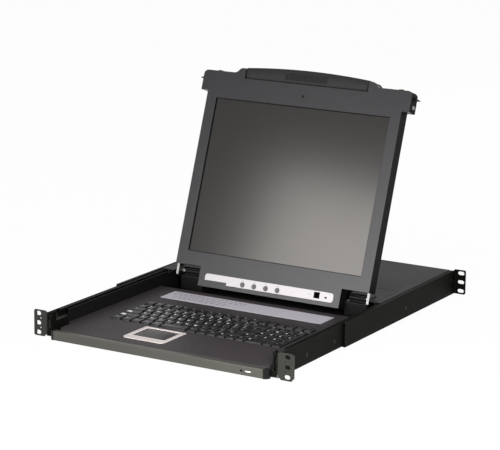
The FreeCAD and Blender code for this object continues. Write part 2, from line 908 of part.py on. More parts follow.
def hinge_body():
    """The friction hinge's block on the tray floor, with the barrel for the lid's pin."""
    x = (block_inner, block_outer)
    body = block(x, (block_front, block_back), (tray_floor, block_top))
    body = rounded(body, block_round, X, lambda place: place.z > block_top - 1)
    neck = block((barrel_inner, barrel_outer), (hinge_y - neck_half, hinge_y + neck_half),
                 (block_top - neck_sunk, hinge_height))
    barrel = rod(barrel_radius, barrel_outer - barrel_inner, (barrel_inner, hinge_y, hinge_height), X)
    foot = block(x, (block_back, block_back + block_foot_length),
                 (tray_floor, tray_floor + block_foot_height))
    bore = rod(pin_radius + pin_gap, barrel_outer - barrel_inner + 2,
               (barrel_inner - 1, hinge_y, hinge_height), X)
    return join([body, neck, barrel, foot]).cut(bore)


def tray_rear_cover():
    """The plate behind the lid that travels with the drawer, cut away round the hinges."""
    y = (rear_cover_start, case_front - rear_cover_overhang - rear_cover_gap)
    plate = block((-rear_cover_half, rear_cover_half), y, (cover_low, unit_height))
    hinge_bay = block((-side_arm_inner, side_arm_inner), (y[0] - 1, hinge_bay_back), (0, ear_height))
    tab_bay = block((-tab_bay_half, tab_bay_half), (y[0] - 1, tab_bay_back), (0, ear_height))
    leg_y = (rear_cover_start, tray_end - sheet)
    leg = block((rear_cover_half - sheet, rear_cover_half), leg_y, (rear_cover_leg, unit_height))
    foot = block((rear_cover_half - sheet, tray_inner), leg_y, (rear_cover_leg, rear_cover_leg + sheet))
    legs = [leg, foot, mirrored(leg), mirrored(foot)]
    return join([plate] + legs).cut(join([hinge_bay, tab_bay]))


# ---- lid ---------------------------------------------------------------------------------
def on_lid(shape):
    """Lean a piece modelled upright about the hinge axis back to the lid's open rest."""
    placed = shape.copy()
    placed.rotate(ORIGIN, X, -recline)
    placed.translate(FreeCAD.Vector(0, hinge_y, hinge_height))
    return placed


def lid_outline(y, inset):
    """The lid seen from the front: hinge tab, main panel, shoulders and the bay for the handle."""
    corner = shoulder_corner
    bend = corner * (1 - math.sqrt(0.5))
    rise = (horn_top - lid_top) / 2
    centre_x = (horn_outer + horn_inner) / 2
    centre_z = lid_top + rise
    half = [
        (tab_half, tab_low), (tab_half, main_low), (main_half, main_low), (main_half, shoulder_low),
        (shoulder_half, shoulder_low), (shoulder_half, lid_top - corner),
        ((shoulder_half - bend, lid_top - bend), (shoulder_half - corner, lid_top)),
        (horn_outer, lid_top),
        ((centre_x + horn_sweep, lid_top + rise * horn_sag), (centre_x, centre_z)),
        ((centre_x - horn_sweep, horn_top - rise * horn_sag), (horn_inner, horn_top)),
        (handle_bay_half, horn_top), (handle_bay_half, handle_bay_low),
    ]
    points = [to_plane(step, y, 1) for step in half]
    back = []
    steps = half[::-1]
    for index, step in enumerate(steps):
        end = step[1] if isinstance(step[0], tuple) else step
        arrives = steps[index - 1] if index else None
        if arrives is not None and isinstance(arrives[0], tuple):
            back.append(to_plane((arrives[0], end), y, -1))
        else:
            back.append(to_plane(end, y, -1))
    wire = outline(points + back)
    return wire.makeOffset2D(-inset) if inset else wire


def to_plane(step, y, side):
    """A point, or an arc's middle and end, of a front view set at depth y."""
    if isinstance(step[0], tuple):
        return tuple((side * x, y, z) for x, z in step)
    return (side * step[0], y, step[1])


def lid_slots():
    """Cutters for the latches and the hinge arms, shared by both halves of the lid."""
    blade = block((shoulder_half - lid_wall - 1, shoulder_half + 1),
                  (latch_front - run_gap, latch_back + run_gap), (latch_low - run_gap, latch_high + run_gap))
    thumb_y = (latch_front - thumb_extra - run_gap, latch_back + thumb_extra + run_gap)
    thumb = block((latch_inner - latch_travel - run_gap, thumb_outer + run_gap), thumb_y,
                  (lid_top - lid_wall - 1, lid_top + 1))
    arm = block((arm_x[0] - arm_slot_gap, arm_x[1]), (arm_front - arm_slot_gap, lid_back - cover_skin),
                (main_low - 1, main_low + lid_wall + 1))
    cutters = [blade, thumb, arm]
    return cutters + [mirrored(cutter) for cutter in cutters]


def lid_bezel():
    """The front half of the lid: face, walls, window, an opening for the buttons and bosses."""
    body = prism(lid_outline(lid_front, 0), Y * (lid_split - lid_front))
    hollow = prism(lid_outline(lid_front + bezel_face, lid_wall), Y * (lid_split - lid_front))
    body = body.cut(hollow)
    face_back = lid_front + bezel_face
    bosses = [post(lid_boss_half, x, (face_back, lid_back - cover_skin), z) for x, z in lid_boss_spots]
    bosses += [mirrored(boss) for boss in bosses]
    posts = [post(board_post_half, x, (face_back, face_back + board_standoff), board_post_z)
             for x in (-board_post_x, board_post_x)]
    body = join([body] + bosses + posts)
    through = (lid_front - 1, face_back + 1)
    body = body.cut(block((-window_half, window_half), through, (window_low, window_high)))
    body = body.cut(rod(sensor_radius, bezel_face + 2, (0, lid_front - 1, sensor_height), Y))
    reach = button_radius + run_gap
    body = body.cut(block((button_positions[0] - reach, button_positions[-1] + reach), through,
                          (button_height - reach, button_height + reach)))
    return body.cut(Part.makeCompound(lid_slots()))


def lid_back_cover():
    """The rear half of the lid, open towards the bezel."""
    depth = lid_back - lid_split
    body = prism(lid_outline(lid_split, 0), Y * depth)
    body = body.cut(prism(lid_outline(lid_split - 1, lid_wall), Y * (depth - cover_skin + 1)))
    return body.cut(Part.makeCompound(lid_slots()))


def lcd_panel():
    """The display module, seated against the back of the bezel face."""
    return block((-window_half - panel_margin, window_half + panel_margin),
                 (lid_front + bezel_face, lid_front + bezel_face + panel_thickness),
                 (window_low - panel_margin, window_high + panel_margin))


def lid_handle():
    """The moulded grip along the lid's top edge, arched above and ribbed in the middle."""
    low = (-handle_half, handle_front, handle_low)
    right = (handle_half, handle_front, handle_low)
    arch = ((0, handle_front, handle_mid_top), (-handle_half, handle_front, handle_end_top))
    wire = outline([low, right, (handle_half, handle_front, handle_end_top), arch])
    grip = prism(wire, Y * (handle_back - handle_front))
    arched = [edge for edge in grip.Edges
              if edge.CenterOfMass.z > handle_end_top and edge.Length > handle_half]
    grip = grip.makeFillet(handle_edge, arched)
    grip = rounded(grip, handle_corner, Y, lambda place: place.z < handle_low + 1)
    groove_low = handle_low + groove_rise
    groove = block((-handle_half + groove_inset, handle_half - groove_inset),
                   (handle_front - 1, handle_front + groove_depth), (groove_low, groove_low + groove_width))
    tongue = block((-handle_half + tongue_inset, handle_half - tongue_inset),
                   (lid_split - tongue_half, lid_split + tongue_half), (handle_bay_low, handle_low + 1))
    ribs = []
    for index in range(rib_count):
        x = (index - (rib_count - 1) / 2) * rib_pitch
        ribs.append(block((x - rib_width / 2, x + rib_width / 2),
                          (handle_front - rib_rise, handle_front + 0.5), (rib_low, rib_high)))
    return join([grip.cut(groove), tongue] + ribs)


def latch_slider():
    """A lid latch: a blade through the shoulder's side and a thumb tab through its top edge."""
    blade = block((latch_inner, latch_tip), (latch_front, latch_back), (latch_low, latch_high))
    blade = rounded(blade, blade_round, Y, lambda place: place.x > latch_tip - 1)
    thumb_y = (latch_front - thumb_extra, latch_back + thumb_extra)
    thumb = block((latch_inner, thumb_outer), thumb_y, (latch_low, thumb_high))
    thumb = rounded(thumb, thumb_round, Y, lambda place: place.z > thumb_high - 1)
    return join([blade, thumb])


def control_plate():
    """The pale control plate on the hinge tab, stepped at its lower left end."""
    y = (lid_front - control_thickness, lid_front)
    plate = block((-control_half, control_half), y, (control_low, control_top))
    plate = rounded(plate, control_corner, Y)
    plate = plate.cut(block((-control_half - 1, control_step_x), (y[0] - 1, y[1] + 1),
                            (control_low - 1, control_step_low)))
    for x in button_positions:
        hole = rod(button_radius + run_gap, control_thickness + 2, (x, y[0] - 1, button_height), Y)
        plate = plate.cut(hole)
    return plate


def osd_button(x):
    """A round menu button with a collar that keeps it behind the bezel face."""
    front = lid_front - control_thickness - button_rise
    collar_front = lid_front + bezel_face + run_gap
    stem = rod(button_radius, collar_front - front, (x, front, button_height), Y)
    collar = post(button_flange_half, x, (collar_front, collar_front + button_flange), button_height)
    return join([stem, collar])


def port_display():
    """The small readout on the control plate."""
    back = lid_front - control_thickness
    return block((display_left, display_right), (back - display_thickness, back), (display_low, display_high))


def lid_control_board():
    """The circuit board behind the menu buttons, on the bezel's posts."""
    front = lid_front + bezel_face + board_standoff
    return block((-board_half, board_half), (front, front + board_thickness), (board_low, board_high))


def hinge_arm():
    """The steel arm that carries the lid on its pin."""
    foot = block((arm_x[0], main_half - arm_foot_out), (arm_front, arm_back), (arm_low, main_low - run_gap))
    foot = rounded(foot, arm_foot_round, X, lambda place: place.z < 0)
    strap = block(arm_x, (arm_front, lid_back - cover_skin - run_gap), (0, arm_high))
    hole = rod(pin_radius + pin_gap, main_half - arm_x[0] + 2, (arm_x[0] - 1, 0, 0), X)
    return join([foot, strap]).cut(hole)


def hinge_pin():
    """The pin through the barrel and the arm, with the friction nut between them."""
    shaft = rod(pin_radius, main_half - barrel_inner, (barrel_inner, 0, 0), X)
    nut_start = barrel_outer + run_gap
    nut = hex_bar(collar_radius, arm_x[0] - nut_start, (nut_start, 0, 0), X)
    return join([shaft, nut])


# ---- rear switch box -----------------------------------------------------------------------
def port_cutter(x):
    """The hole in the rear wall behind one D-shaped port."""
    half = port_body_half + port_cut_gap
    tall = port_body_tall + port_cut_gap
    return block((x - half, x + half), (case_back - 3, case_back + 1),
                 (port_height - tall, port_height + tall))


def usb_cutter(x, margin):
    """The rectangle of one USB socket, with a margin."""
    half = usb_half + margin
    tall = usb_tall + margin
    return block((x - half, x + half), (case_back - usb_depth, case_back + usb_mouth),
                 (port_height - tall, port_height + tall))


def port_places():
    """The X places of the computer ports."""
    return [port_first_x + index * port_pitch for index in range(port_count)]


def rear_case():
    """The switch box's tray, screwed between the rails, with its rear wall cut for the ports."""
    floor = block((-web_inner, web_inner), (case_front, case_back), (case_low, case_floor))
    side = block((web_inner - sheet, web_inner), (case_front, case_back), (case_low, case_wall_high))
    front = block((-web_inner, web_inner), (case_front, case_front + sheet), (case_low, case_front_high))
    rear = block((-web_inner, web_inner), (case_back - sheet, case_back), (case_low, cover_low))
    posts = []
    for x in (board_left + standoff_inset, (board_left + board_right) / 2, board_right - standoff_inset):
        for y in (board_y_front + standoff_inset, case_back - standoff_back):
            posts.append(post(standoff_half, x, y, (case_floor, switch_board_height)))
    case = join([floor, side, mirrored(side), front, rear] + posts)
    cutters = [port_cutter(x) for x in port_places() + [console_port_x]]
    cutters += [usb_cutter(x, pin_gap) for x in usb_positions]
    inset = inlet_body_inset - pin_gap
    cutters.append(block((inlet_left + inset, inlet_right - inset), (case_back - 3, case_back + 1),
                         (inlet_low + inset, inlet_high - inset)))
    cutters.append(rod(ground_shank_radius + pin_gap, 4,
                       (ground_screw_x, case_back - 3, ground_screw_height), Y))
    return case.cut(Part.makeCompound(cutters))


def rear_case_cover():
    """The switch box's lid: side flanges inside the case walls and wings beside the drawer."""
    half = web_inner - sheet
    top = block((-half, half), (case_front - rear_cover_overhang, case_back), (cover_low, unit_height))
    flange = block((half - sheet, half), (case_front + sheet + run_gap, case_back - sheet - run_gap),
                   (unit_height - case_cover_flange, unit_height))
    wing = block((wing_start, half), (rear_cover_start, case_front), (cover_low, unit_height))
    cover = join([top, flange, mirrored(flange), wing, mirrored(wing)])
    return rounded(cover, case_cover_round, Y,
                   lambda place: place.z > unit_height - 0.1 and abs(place.x) > half - 0.1)


def switch_board():
    """The main circuit board on the tray's posts."""
    return block((board_left, board_right), (board_y_front, case_back - sheet - board_back_gap),
                 (switch_board_height, board_top))


def power_supply():
    """The power supply module on the tray floor."""
    return block((supply_left, supply_right), (supply_front, supply_back), (case_floor, supply_high))


def d_port(x):
    """A D-shaped video port: flange, shell, jack screws and a body that stands on the board."""
    flange = block((x - port_flange_half, x + port_flange_half), (case_back, case_back + 1),
                   (port_height - port_flange_tall, port_height + port_flange_tall))
    top = port_height + port_shell_tall
    low = port_height - port_shell_tall
    wire = outline([(x - port_shell_top, case_back, top), (x + port_shell_top, case_back, top),
                    (x + port_shell_low, case_back, low), (x - port_shell_low, case_back, low)])
    shell = prism(wire, Y * port_shell_length)
    body_x = (x - port_body_half, x + port_body_half)
    body_low = port_height - port_body_tall
    body = block(body_x, (case_back - port_body_depth, case_back), (body_low, port_height + port_body_tall))
    legs = block(body_x, (case_back - port_leg_far, case_back - port_leg_near), (board_top, body_low))
    jacks = [hex_bar(jack_radius, jack_length, (x + side * jack_x, case_back + 1, port_height), Y)
             for side in (-1, 1)]
    return join([flange, shell, body, legs] + jacks)


def usb_socket(x):
    """A USB socket: a shell with its tongue, standing on the board."""
    shell = usb_cutter(x, 0)
    half = usb_half - usb_shell
    tall = usb_tall - usb_shell
    hollow = block((x - half, x + half), (case_back - usb_hollow, case_back + usb_mouth + 1),
                   (port_height - tall, port_height + tall))
    tongue = block((x - usb_tongue_half, x + usb_tongue_half), (case_back - usb_hollow - 1, case_back),
                   (port_height, port_height + usb_tongue))
    legs = block((x - half, x + half), (case_back - usb_depth, case_back - port_leg_near),
                 (board_top, port_height - usb_tall))
    return join([shell.cut(hollow), tongue, legs])


def power_inlet():
    """The mains inlet and switch frame: flange, body, socket with blades and the rocker's bay."""
    flange = block((inlet_left, inlet_right), (case_back, case_back + inlet_lip), (inlet_low, inlet_high))
    inset = inlet_body_inset
    body = block((inlet_left + inset, inlet_right - inset), (case_back - inlet_body_depth, case_back),
                 (inlet_low + inset, inlet_high - inset))
    mouth = case_back + inlet_lip
    socket = block((socket_centre - socket_width / 2, socket_centre + socket_width / 2),
                   (mouth - socket_depth, mouth + 1),
                   (inlet_middle - socket_height / 2, inlet_middle + socket_height / 2))
    socket = rounded(socket, socket_corner, Y, lambda place: place.z > inlet_middle)
    blades = []
    for offset, rise in socket_blades:
        x = socket_centre + offset
        z = inlet_middle + rise
        blades.append(block((x - blade_half_x, x + blade_half_x),
                            (mouth - socket_depth - 1, mouth - blade_set_back),
                            (z - blade_half_z, z + blade_half_z)))
    bay = block((rocker_centre - rocker_width / 2, rocker_centre + rocker_width / 2),
                (rocker_pivot_y - rocker_bay_depth, mouth + 1),
                (inlet_middle - rocker_height / 2, inlet_middle + rocker_height / 2))
    axle_half = rocker_width / 2 + 2
    axle = rod(rocker_axle_radius + pin_gap, 2 * axle_half,
               (rocker_centre - axle_half, rocker_pivot_y, inlet_middle), X)
    housing = join([flange, body]).cut(socket).cut(bay).cut(axle)
    return join([housing] + blades)


def power_rocker():
    """The mains rocker on its axle, tilted to its off side."""
    half = rocker_width / 2 - rocker_gap
    tall = rocker_height / 2 - rocker_end_gap
    left = rocker_centre - half
    inside = rocker_pivot_y - rocker_depth
    edge = rocker_pivot_y + rocker_edge
    face = rocker_pivot_y + rocker_face
    wire = outline([(left, inside, inlet_middle - rocker_foot_half), (left, edge, inlet_middle - tall),
                    (left, face, inlet_middle - tall), (left, rocker_pivot_y + rocker_waist, inlet_middle),
                    (left, face, inlet_middle + tall), (left, edge, inlet_middle + tall),
                    (left, inside, inlet_middle + rocker_foot_half)])
    body = prism(wire, X * (2 * half))
    axle = rod(rocker_axle_radius, 2 * (half + rocker_axle_end),
               (left - rocker_axle_end, rocker_pivot_y, inlet_middle), X)
    rocker = join([body, axle])
    rocker.rotate(FreeCAD.Vector(0, rocker_pivot_y, inlet_middle), X, -rocker_tilt)
    return rocker


def ground_screw():
    """The earth screw on the rear wall."""
    head = hex_bar(ground_head_radius, ground_head_length,
                   (ground_screw_x, case_back, ground_screw_height), Y)
    shank = rod(ground_shank_radius, ground_shank_length,
                (ground_screw_x, case_back - ground_shank_length, ground_screw_height), Y)
    return join([head, shank])


# ---- build -------------------------------------------------------------------------------
def build():
    """Write every node."""
    os.makedirs("parts", exist_ok=True)
    paired = {"rail": side_rail(), "rear_bracket": rear_bracket(), "slide_outer": slide_outer(),
              "slide_middle": slide_middle(), "slide_inner": slide_inner(), "hinge_body": hinge_body(),
              "latch": on_lid(latch_slider())}
    for name, shape in paired.items():
        export("right_" + name, [shape])
        export("left_" + name, [mirrored(shape)])
    pairs = {"latch_keepers": latch_keeper(), "lip_end_caps": lip_end_cap(),
             "hinge_arms": on_lid(hinge_arm()), "hinge_pins": on_lid(hinge_pin())}
    for name, shape in pairs.items():
        export(name, [shape, mirrored(shape)])
    export("tray_pan", [tray_pan()])
    export("front_lip", [front_lip()])
    export("power_led", [power_led()])
    export("keyboard_deck", [keyboard_deck()])
    export("key_plate", [key_plate()])
    for row in range(6):
        keys = [key_cap(left, width, rows_y[row]) for left, width in key_row_units(row)]
        export("key_row_" + str(row + 1), keys)
    left, width = space_bar_place()
    export("space_bar", [key_cap(left, width, rows_y[0])])
    export("pad_frame", [pad_frame()])
    export("touch_pad", [pad_plate()])
    middle = (pad_frame_left + pad_frame_right) / 2
    export("left_click_button", [click_button((pad_frame_left, middle - click_gap / 2), pad_frame_left)])
    export("right_click_button", [click_button((middle + click_gap / 2, pad_frame_right), pad_frame_right)])
    export("label_strip", [block((strip_left, strip_right), (strip_front, strip_back),
                                 (deck_top, deck_top + strip_thickness))])
    export("tray_rear_cover", [tray_rear_cover()])
    export("lid_bezel", [on_lid(lid_bezel())])
    export("lid_back_cover", [on_lid(lid_back_cover())])
    export("lcd_panel", [on_lid(lcd_panel())])
    export("lid_handle", [on_lid(lid_handle())])
    export("control_plate", [on_lid(control_plate())])
    for index, x in enumerate(button_positions):
        export("menu_button_" + str(index + 1), [on_lid(osd_button(x))])
    export("port_display", [on_lid(port_display())])
    export("lid_control_board", [on_lid(lid_control_board())])
    export("rear_case", [rear_case()])
    export("rear_case_cover", [rear_case_cover()])
    export("switch_board", [switch_board()])
    export("power_supply", [power_supply()])
    export("computer_ports", [d_port(x) for x in port_places()])
    export("console_ports", [d_port(console_port_x)] + [usb_socket(x) for x in usb_positions])
    export("power_inlet", [power_inlet()])
    export("power_rocker", [power_rocker()])
    export("ground_screw", [ground_screw()])


build()
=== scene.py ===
import json
import math

import bmesh
import bpy
from mathutils import Matrix, Vector

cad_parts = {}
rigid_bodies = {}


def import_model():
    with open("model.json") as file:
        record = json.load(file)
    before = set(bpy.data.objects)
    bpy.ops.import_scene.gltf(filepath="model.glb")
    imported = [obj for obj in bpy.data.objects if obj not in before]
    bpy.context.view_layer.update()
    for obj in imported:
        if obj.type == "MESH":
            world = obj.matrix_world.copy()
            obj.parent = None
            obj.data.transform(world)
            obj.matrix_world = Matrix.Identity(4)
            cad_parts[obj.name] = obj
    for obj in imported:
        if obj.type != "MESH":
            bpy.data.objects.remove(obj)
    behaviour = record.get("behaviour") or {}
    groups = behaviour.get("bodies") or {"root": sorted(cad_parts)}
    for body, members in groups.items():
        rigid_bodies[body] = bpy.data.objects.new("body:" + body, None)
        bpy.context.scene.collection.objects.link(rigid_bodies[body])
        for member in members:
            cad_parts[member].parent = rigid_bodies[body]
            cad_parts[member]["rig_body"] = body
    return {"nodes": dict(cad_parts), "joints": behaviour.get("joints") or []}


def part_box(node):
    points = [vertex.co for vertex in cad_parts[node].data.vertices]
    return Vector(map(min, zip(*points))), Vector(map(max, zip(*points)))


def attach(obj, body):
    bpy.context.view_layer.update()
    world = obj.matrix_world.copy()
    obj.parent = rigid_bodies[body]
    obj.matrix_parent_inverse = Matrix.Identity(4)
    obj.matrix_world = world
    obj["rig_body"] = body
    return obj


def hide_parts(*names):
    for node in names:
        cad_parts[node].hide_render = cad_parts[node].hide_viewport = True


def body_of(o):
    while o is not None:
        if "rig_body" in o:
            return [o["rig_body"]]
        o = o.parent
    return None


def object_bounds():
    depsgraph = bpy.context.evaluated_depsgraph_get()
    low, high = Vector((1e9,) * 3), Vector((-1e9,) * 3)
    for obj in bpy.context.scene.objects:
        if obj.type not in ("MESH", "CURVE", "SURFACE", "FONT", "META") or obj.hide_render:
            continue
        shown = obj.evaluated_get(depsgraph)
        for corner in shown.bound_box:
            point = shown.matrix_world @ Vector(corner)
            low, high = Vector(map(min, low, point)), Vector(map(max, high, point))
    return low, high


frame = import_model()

bl_info = {
    "name": "Rackmount console drawer dresser",
    "version": (1, 0, 0),
    "blender": (4, 5, 0),
    "location": "3D View > Sidebar > Console drawer",
    "description": "Dresses the frame of a rackmount display and keyboard drawer",
    "category": "Object",
}

NODES = frame["nodes"]
CAD_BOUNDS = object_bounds()
MM = 0.001

# The lid is drawn upright about its hinge axis, in metres, and then leaned back to its open rest.
HINGE = Vector(next(joint["pos_m"] for joint in frame["joints"] if joint["name"] == "lid_hinge"))
LEAN = math.radians(19.31)
ON_LID = Matrix.Translation(HINGE) @ Matrix.Rotation(-LEAN, 4, "X")
OFF_LID = ON_LID.inverted()

# The camera's place, its two axes across and up the view, and its lens.
CAMERA_PLACE = Vector((1.80265, -2.80422, 0.9674))
CAMERA_RIGHT = Vector((0.86162139, 0.50737381, 0.01343094))
CAMERA_UP = Vector((-0.12596079, 0.18812225, 0.97403486))
CAMERA_LENS = 158.42
SENSOR_WIDTH = 36.0

# Lamps: name, place, aim, width, height, power in watts and whether reflections show it.
LAMPS = (
    ("Front soft box", (-0.77, -1.80, 0.65), (0.05, 0.38, 0.15), 1.0, 1.0, 24.0, True),
    ("Right fill", (0.62, -0.55, 0.22), (0.24, 0.0, 0.0), 0.30, 0.30, 12.0, False),
    ("Back fill", (0.10, 2.60, 1.10), (0.0, 0.35, 0.1), 1.2, 1.2, 12.0, False),
    ("Top soft box", (0.3, -0.2, 2.3), (0.1, 0.1, 0.0), 1.6, 1.6, 10.0, True),
)
WORLD_LIGHT = 0.36
FLOOR_GLOW = 0.965
FLOOR_HALF = 14.0
FLOOR_GAP = 0.2 * MM

# Meshes: corners closer than the weld are joined, faces that turn less than the flat angle are made
# one, edges steeper than the sharp angle stay crisp, and a round corner is drawn in a few steps.
WELD = 0.002 * MM
FLAT_ANGLE = math.radians(0.8)
SHARP_ANGLE = math.radians(32)
CORNER_STEPS = 4

# Keys: what each key shows, front row first, the rows that differ, and the sizes of a cap. Two rows
# start with a key whose longer word is a pale block.
KEY_LEGENDS = tuple(row.split() for row in (
    "- - - - - - - - < v > 0 . -",
    "- Z X C V B N M , . / - ^ 1 2 3 -",
    "- A S D F G H J K L ; ' - 4 5 6 +",
    "- Q W E R T Y U I O P [ ] - 7 8 9 -",
    "` 1 2 3 4 5 6 7 8 9 0 - = - / * - +",
    "- 1 2 3 4 5 6 7 8 9 10 11 12 - - - - - -",
))
NUMBER_ROW = 4
FUNCTION_ROW = 5
ROWS_WITH_PALE_KEY = (1, 2)
KEY_TAPER = 1.5 * MM
KEY_SKIRT = 4.5 * MM
KEY_STEM = 4.0 * MM
WIDE_KEY = 17 * MM

# Legends: how far they stand off the cap, how much their strokes swell as a share of their height,
# their place from the cap's left and far edges, where a second mark or the second stroke of a word
# stands, and the sizes of a second mark and of the function row against the others.
PRINT_LIFT = 0.06 * MM
STROKE_SWELL = 0.022
LEGEND_LEFT = 4.6 * MM
LEGEND_FAR = 5.4 * MM
SECOND_LEFT = 0.6 * MM
SECOND_NEAR = 6.0 * MM
SECOND_SHARE = 0.8
FUNCTION_SHARE = 0.6
STROKE_STEP = 2.2 * MM
PALE_BLOCK_LEFT = 6.2 * MM
PALE_BLOCK_HALF = (4.3 * MM, 3.0 * MM)

# The front ears end this far behind the rack's face, and reach this far in from their outer edge.
EAR_DEPTH = 9 * MM
EAR_REACH = 26 * MM

# Screws: the faces they sit on, their places along Y, their height and their profile.
RAIL_FACE = 216.45 * MM
BRACKET_FACE = 220.95 * MM
RAIL_SCREWS = (90 * MM, 180 * MM)
BRACKET_SCREW = 425 * MM
SCREW_HEIGHT = -4.8 * MM
SCREW_SOCKET = 1.5 * MM
SCREW_PROFILE = ((3.4 * MM, 0.0), (3.4 * MM, 0.25 * MM), (3.0 * MM, 0.55 * MM), (2.2 * MM, 0.75 * MM),
                 (SCREW_SOCKET, 0.8 * MM), (SCREW_SOCKET, 0.15 * MM))

# The lip's lamp, and the pale mark beside it.
LAMP_RADIUS = 1.42 * MM
LAMP_RIM = LAMP_RADIUS + 0.7 * MM
LAMP_MARK_OFFSET = 12 * MM

# Rules on the label strip, a row each: share of the strip's depth, start, end and spacing.
LABEL_ROWS = ((0.8, 8 * MM, 150 * MM, 9 * MM), (0.62, 8 * MM, 150 * MM, 11 * MM),
              (0.4, 16 * MM, 118 * MM, 9 * MM), (0.22, 16 * MM, 118 * MM, 11 * MM))

# The gaps round the pad and in front of its frame, and the frame's corners and soft edge.
PAD_GAP = 0.1 * MM
FRAME_GAP = 0.3 * MM
FRAME_CORNER = 1.4 * MM
FRAME_EDGE = 0.35 * MM

# The lid: the bezel's lap over the display, the sensor and its height above the window, the spring
# clips, and the latches' blade height and thumb length.
SCREEN_LAP = 5.0 * MM
SENSOR_RISE = 18.3 * MM
SENSOR_RADIUS = 1.15 * MM
SENSOR_RIM = 2.2 * MM
CLIP_HEIGHTS = (325.5 * MM, 331.5 * MM)
CLIP_DEPTHS = (-11.0 * MM, -1.5 * MM)
CLIP_ROOT = 0.3 * MM
CLIP_RISE = 0.35 * MM
LATCH_BLADE = 5.0 * MM
LATCH_THUMB = 12.0 * MM

# The handle: the shares of its half length that draw its rounded end, the steps along the rest of a
# half, how far its ends drop, and the ribs with the black sheet behind them, painted shade in the gaps
# between the ribs. Edges flatter than its sharp angle look smooth.
HANDLE_END_SHARES = (0.93, 0.965, 0.985, 0.995, 1.0)
HANDLE_STEPS = 12
HANDLE_DROP = 5.5 * MM
HANDLE_EASE = 4.0 * MM
RIB_HEIGHTS = (5.6 * MM, 17.8 * MM)
RIB_HALF = 1.4 * MM
RIB_GAP_SHADE_HALF_HEIGHT = 6.1 * MM
HANDLE_SHARP = math.radians(50)

# The lid's controls: the buttons, the marks over them, the status window and the readout's mark.
BUTTON_RADIUS = 4.25 * MM
BUTTON_MARK_RISE = 6.6 * MM
STATUS_OFFSET = Vector((12 * MM, -1.8 * MM))
READOUT_MARK_OFFSET = 9 * MM


def tone(red, green, blue):
    """Linear light from three display steps of 0 to 255."""
    return tuple(((step / 255 + 0.055) / 1.055) ** 2.4 for step in (red, green, blue))


# ---- sizes and colours that a user would change ----
def colour_property(name, description, *steps):
    """A colour of the add-on's panel, from three display steps."""
    return bpy.props.FloatVectorProperty(name=name, description=description, default=tone(*steps),
                                         subtype="COLOR", size=3, min=0.0, max=1.0)


def length_property(name, description, default):
    """A length of the add-on's panel, in metres."""
    return bpy.props.FloatProperty(name=name, description=description, default=default,
                                   unit="LENGTH", min=0.0, precision=5)


class ConsoleColours(bpy.types.PropertyGroup):
    """The paints and plastics of the console drawer."""
    rail: colour_property("Rails", "Powder coat of rails and brackets", 13, 14, 11)
    ear: colour_property("Front ears", "Powder coat of the front ears", 40, 40, 36)
    cover: colour_property("Covers", "Powder coat of the rear cover", 36, 34, 35)
    tray: colour_property("Tray", "Powder coat inside the drawer", 18, 17, 17)
    lip: colour_property("Lip", "Satin paint of the front lip", 64, 63, 58)
    slide: colour_property("Slides", "Plated steel of the hidden slide members", 110, 110, 112)
    steel: colour_property("Bare steel", "Bright steel of the hinge arms", 138, 138, 136)
    deck: colour_property("Deck", "Plastic of the keyboard deck", 57, 53, 55)
    key: colour_property("Keys", "Plastic of the keycaps", 17, 16, 18)
    legend: colour_property("Legends", "Print on the keycaps", 228, 228, 230)
    pale: colour_property("Pad frame", "Pale plastic around the pointing pad", 202, 192, 189)
    pad: colour_property("Pad", "Film of the pointing pad", 36, 34, 33)
    label: colour_property("Label strip", "Film behind the keyboard", 186, 181, 189)
    bezel: colour_property("Bezel", "Plastic of the lid's front", 27, 25, 28)
    handle: colour_property("Handle", "Plastic of the grip", 36, 36, 37)
    screen: colour_property("Screen", "Dark surface of the display", 5, 5, 4)
    control: colour_property("Control plate", "Film on the hinge tab", 194, 190, 191)
    button: colour_property("Menu buttons", "Plastic of the round buttons", 92, 90, 92)
    board: colour_property("Boards", "Laminate of the circuit boards", 26, 72, 48)
    port: colour_property("Ports", "Plated shells of the sockets", 150, 152, 156)


class ConsoleSizes(bpy.types.PropertyGroup):
    """Small sizes that finish the console drawer's pieces."""
    sheet_edge: length_property("Sheet edge", "Rounding of folded sheet edges", 0.35 * MM)
    moulded_edge: length_property("Moulded edge", "Rounding of moulded edges", 0.8 * MM)
    key_corner: length_property("Key corner", "Corner radius of a keycap's top", 1.6 * MM)
    key_dish: length_property("Key dish", "Depth of the hollow in a keycap's top", 0.55 * MM)
    legend_height: length_property("Legend height", "Height of the characters on the keys", 6.6 * MM)
    gasket: length_property("Gasket", "Width of the dark ring around the screen", 1.1 * MM)
    pad_lap: length_property("Pad lap", "How far the pad's film laps over its frame", 2.0 * MM)
    rib_pitch: length_property("Rib pitch", "Distance between the grip's fine ribs", 5.9 * MM)
    rib_rise: length_property("Rib rise", "Height of the grip's fine ribs", 1.4 * MM)
    rib_count: bpy.props.IntProperty(name="Ribs", description="Fine ribs on the grip", default=14, min=1)


# ---- shader nodes ----
def place(tree, kind, values=None, **settings):
    """A new node. A value that is a socket is linked, any other is set."""
    node = tree.nodes.new(kind)
    for name, value in settings.items():
        setattr(node, name, value)
    for key, value in (values or {}).items():
        if isinstance(value, bpy.types.NodeSocket):
            tree.links.new(value, node.inputs[key])
        else:
            node.inputs[key].default_value = value
    return node


def mix_colours(tree, factor, first, second):
    """The colour between two, by a factor."""
    node = place(tree, "ShaderNodeMix", {0: factor, 6: first, 7: second}, data_type="RGBA")
    return node.outputs[2]


def maths(tree, operation, first, second):
    """The result of one sum."""
    return place(tree, "ShaderNodeMath", {0: first, 1: second}, operation=operation).outputs[0]


def span(tree, value, low, high, to_low, to_high):
    """A value stretched from one range to another."""
    node = place(tree, "ShaderNodeMapRange", {0: value, 1: low, 2: high, 3: to_low, 4: to_high})
    return node.outputs[0]


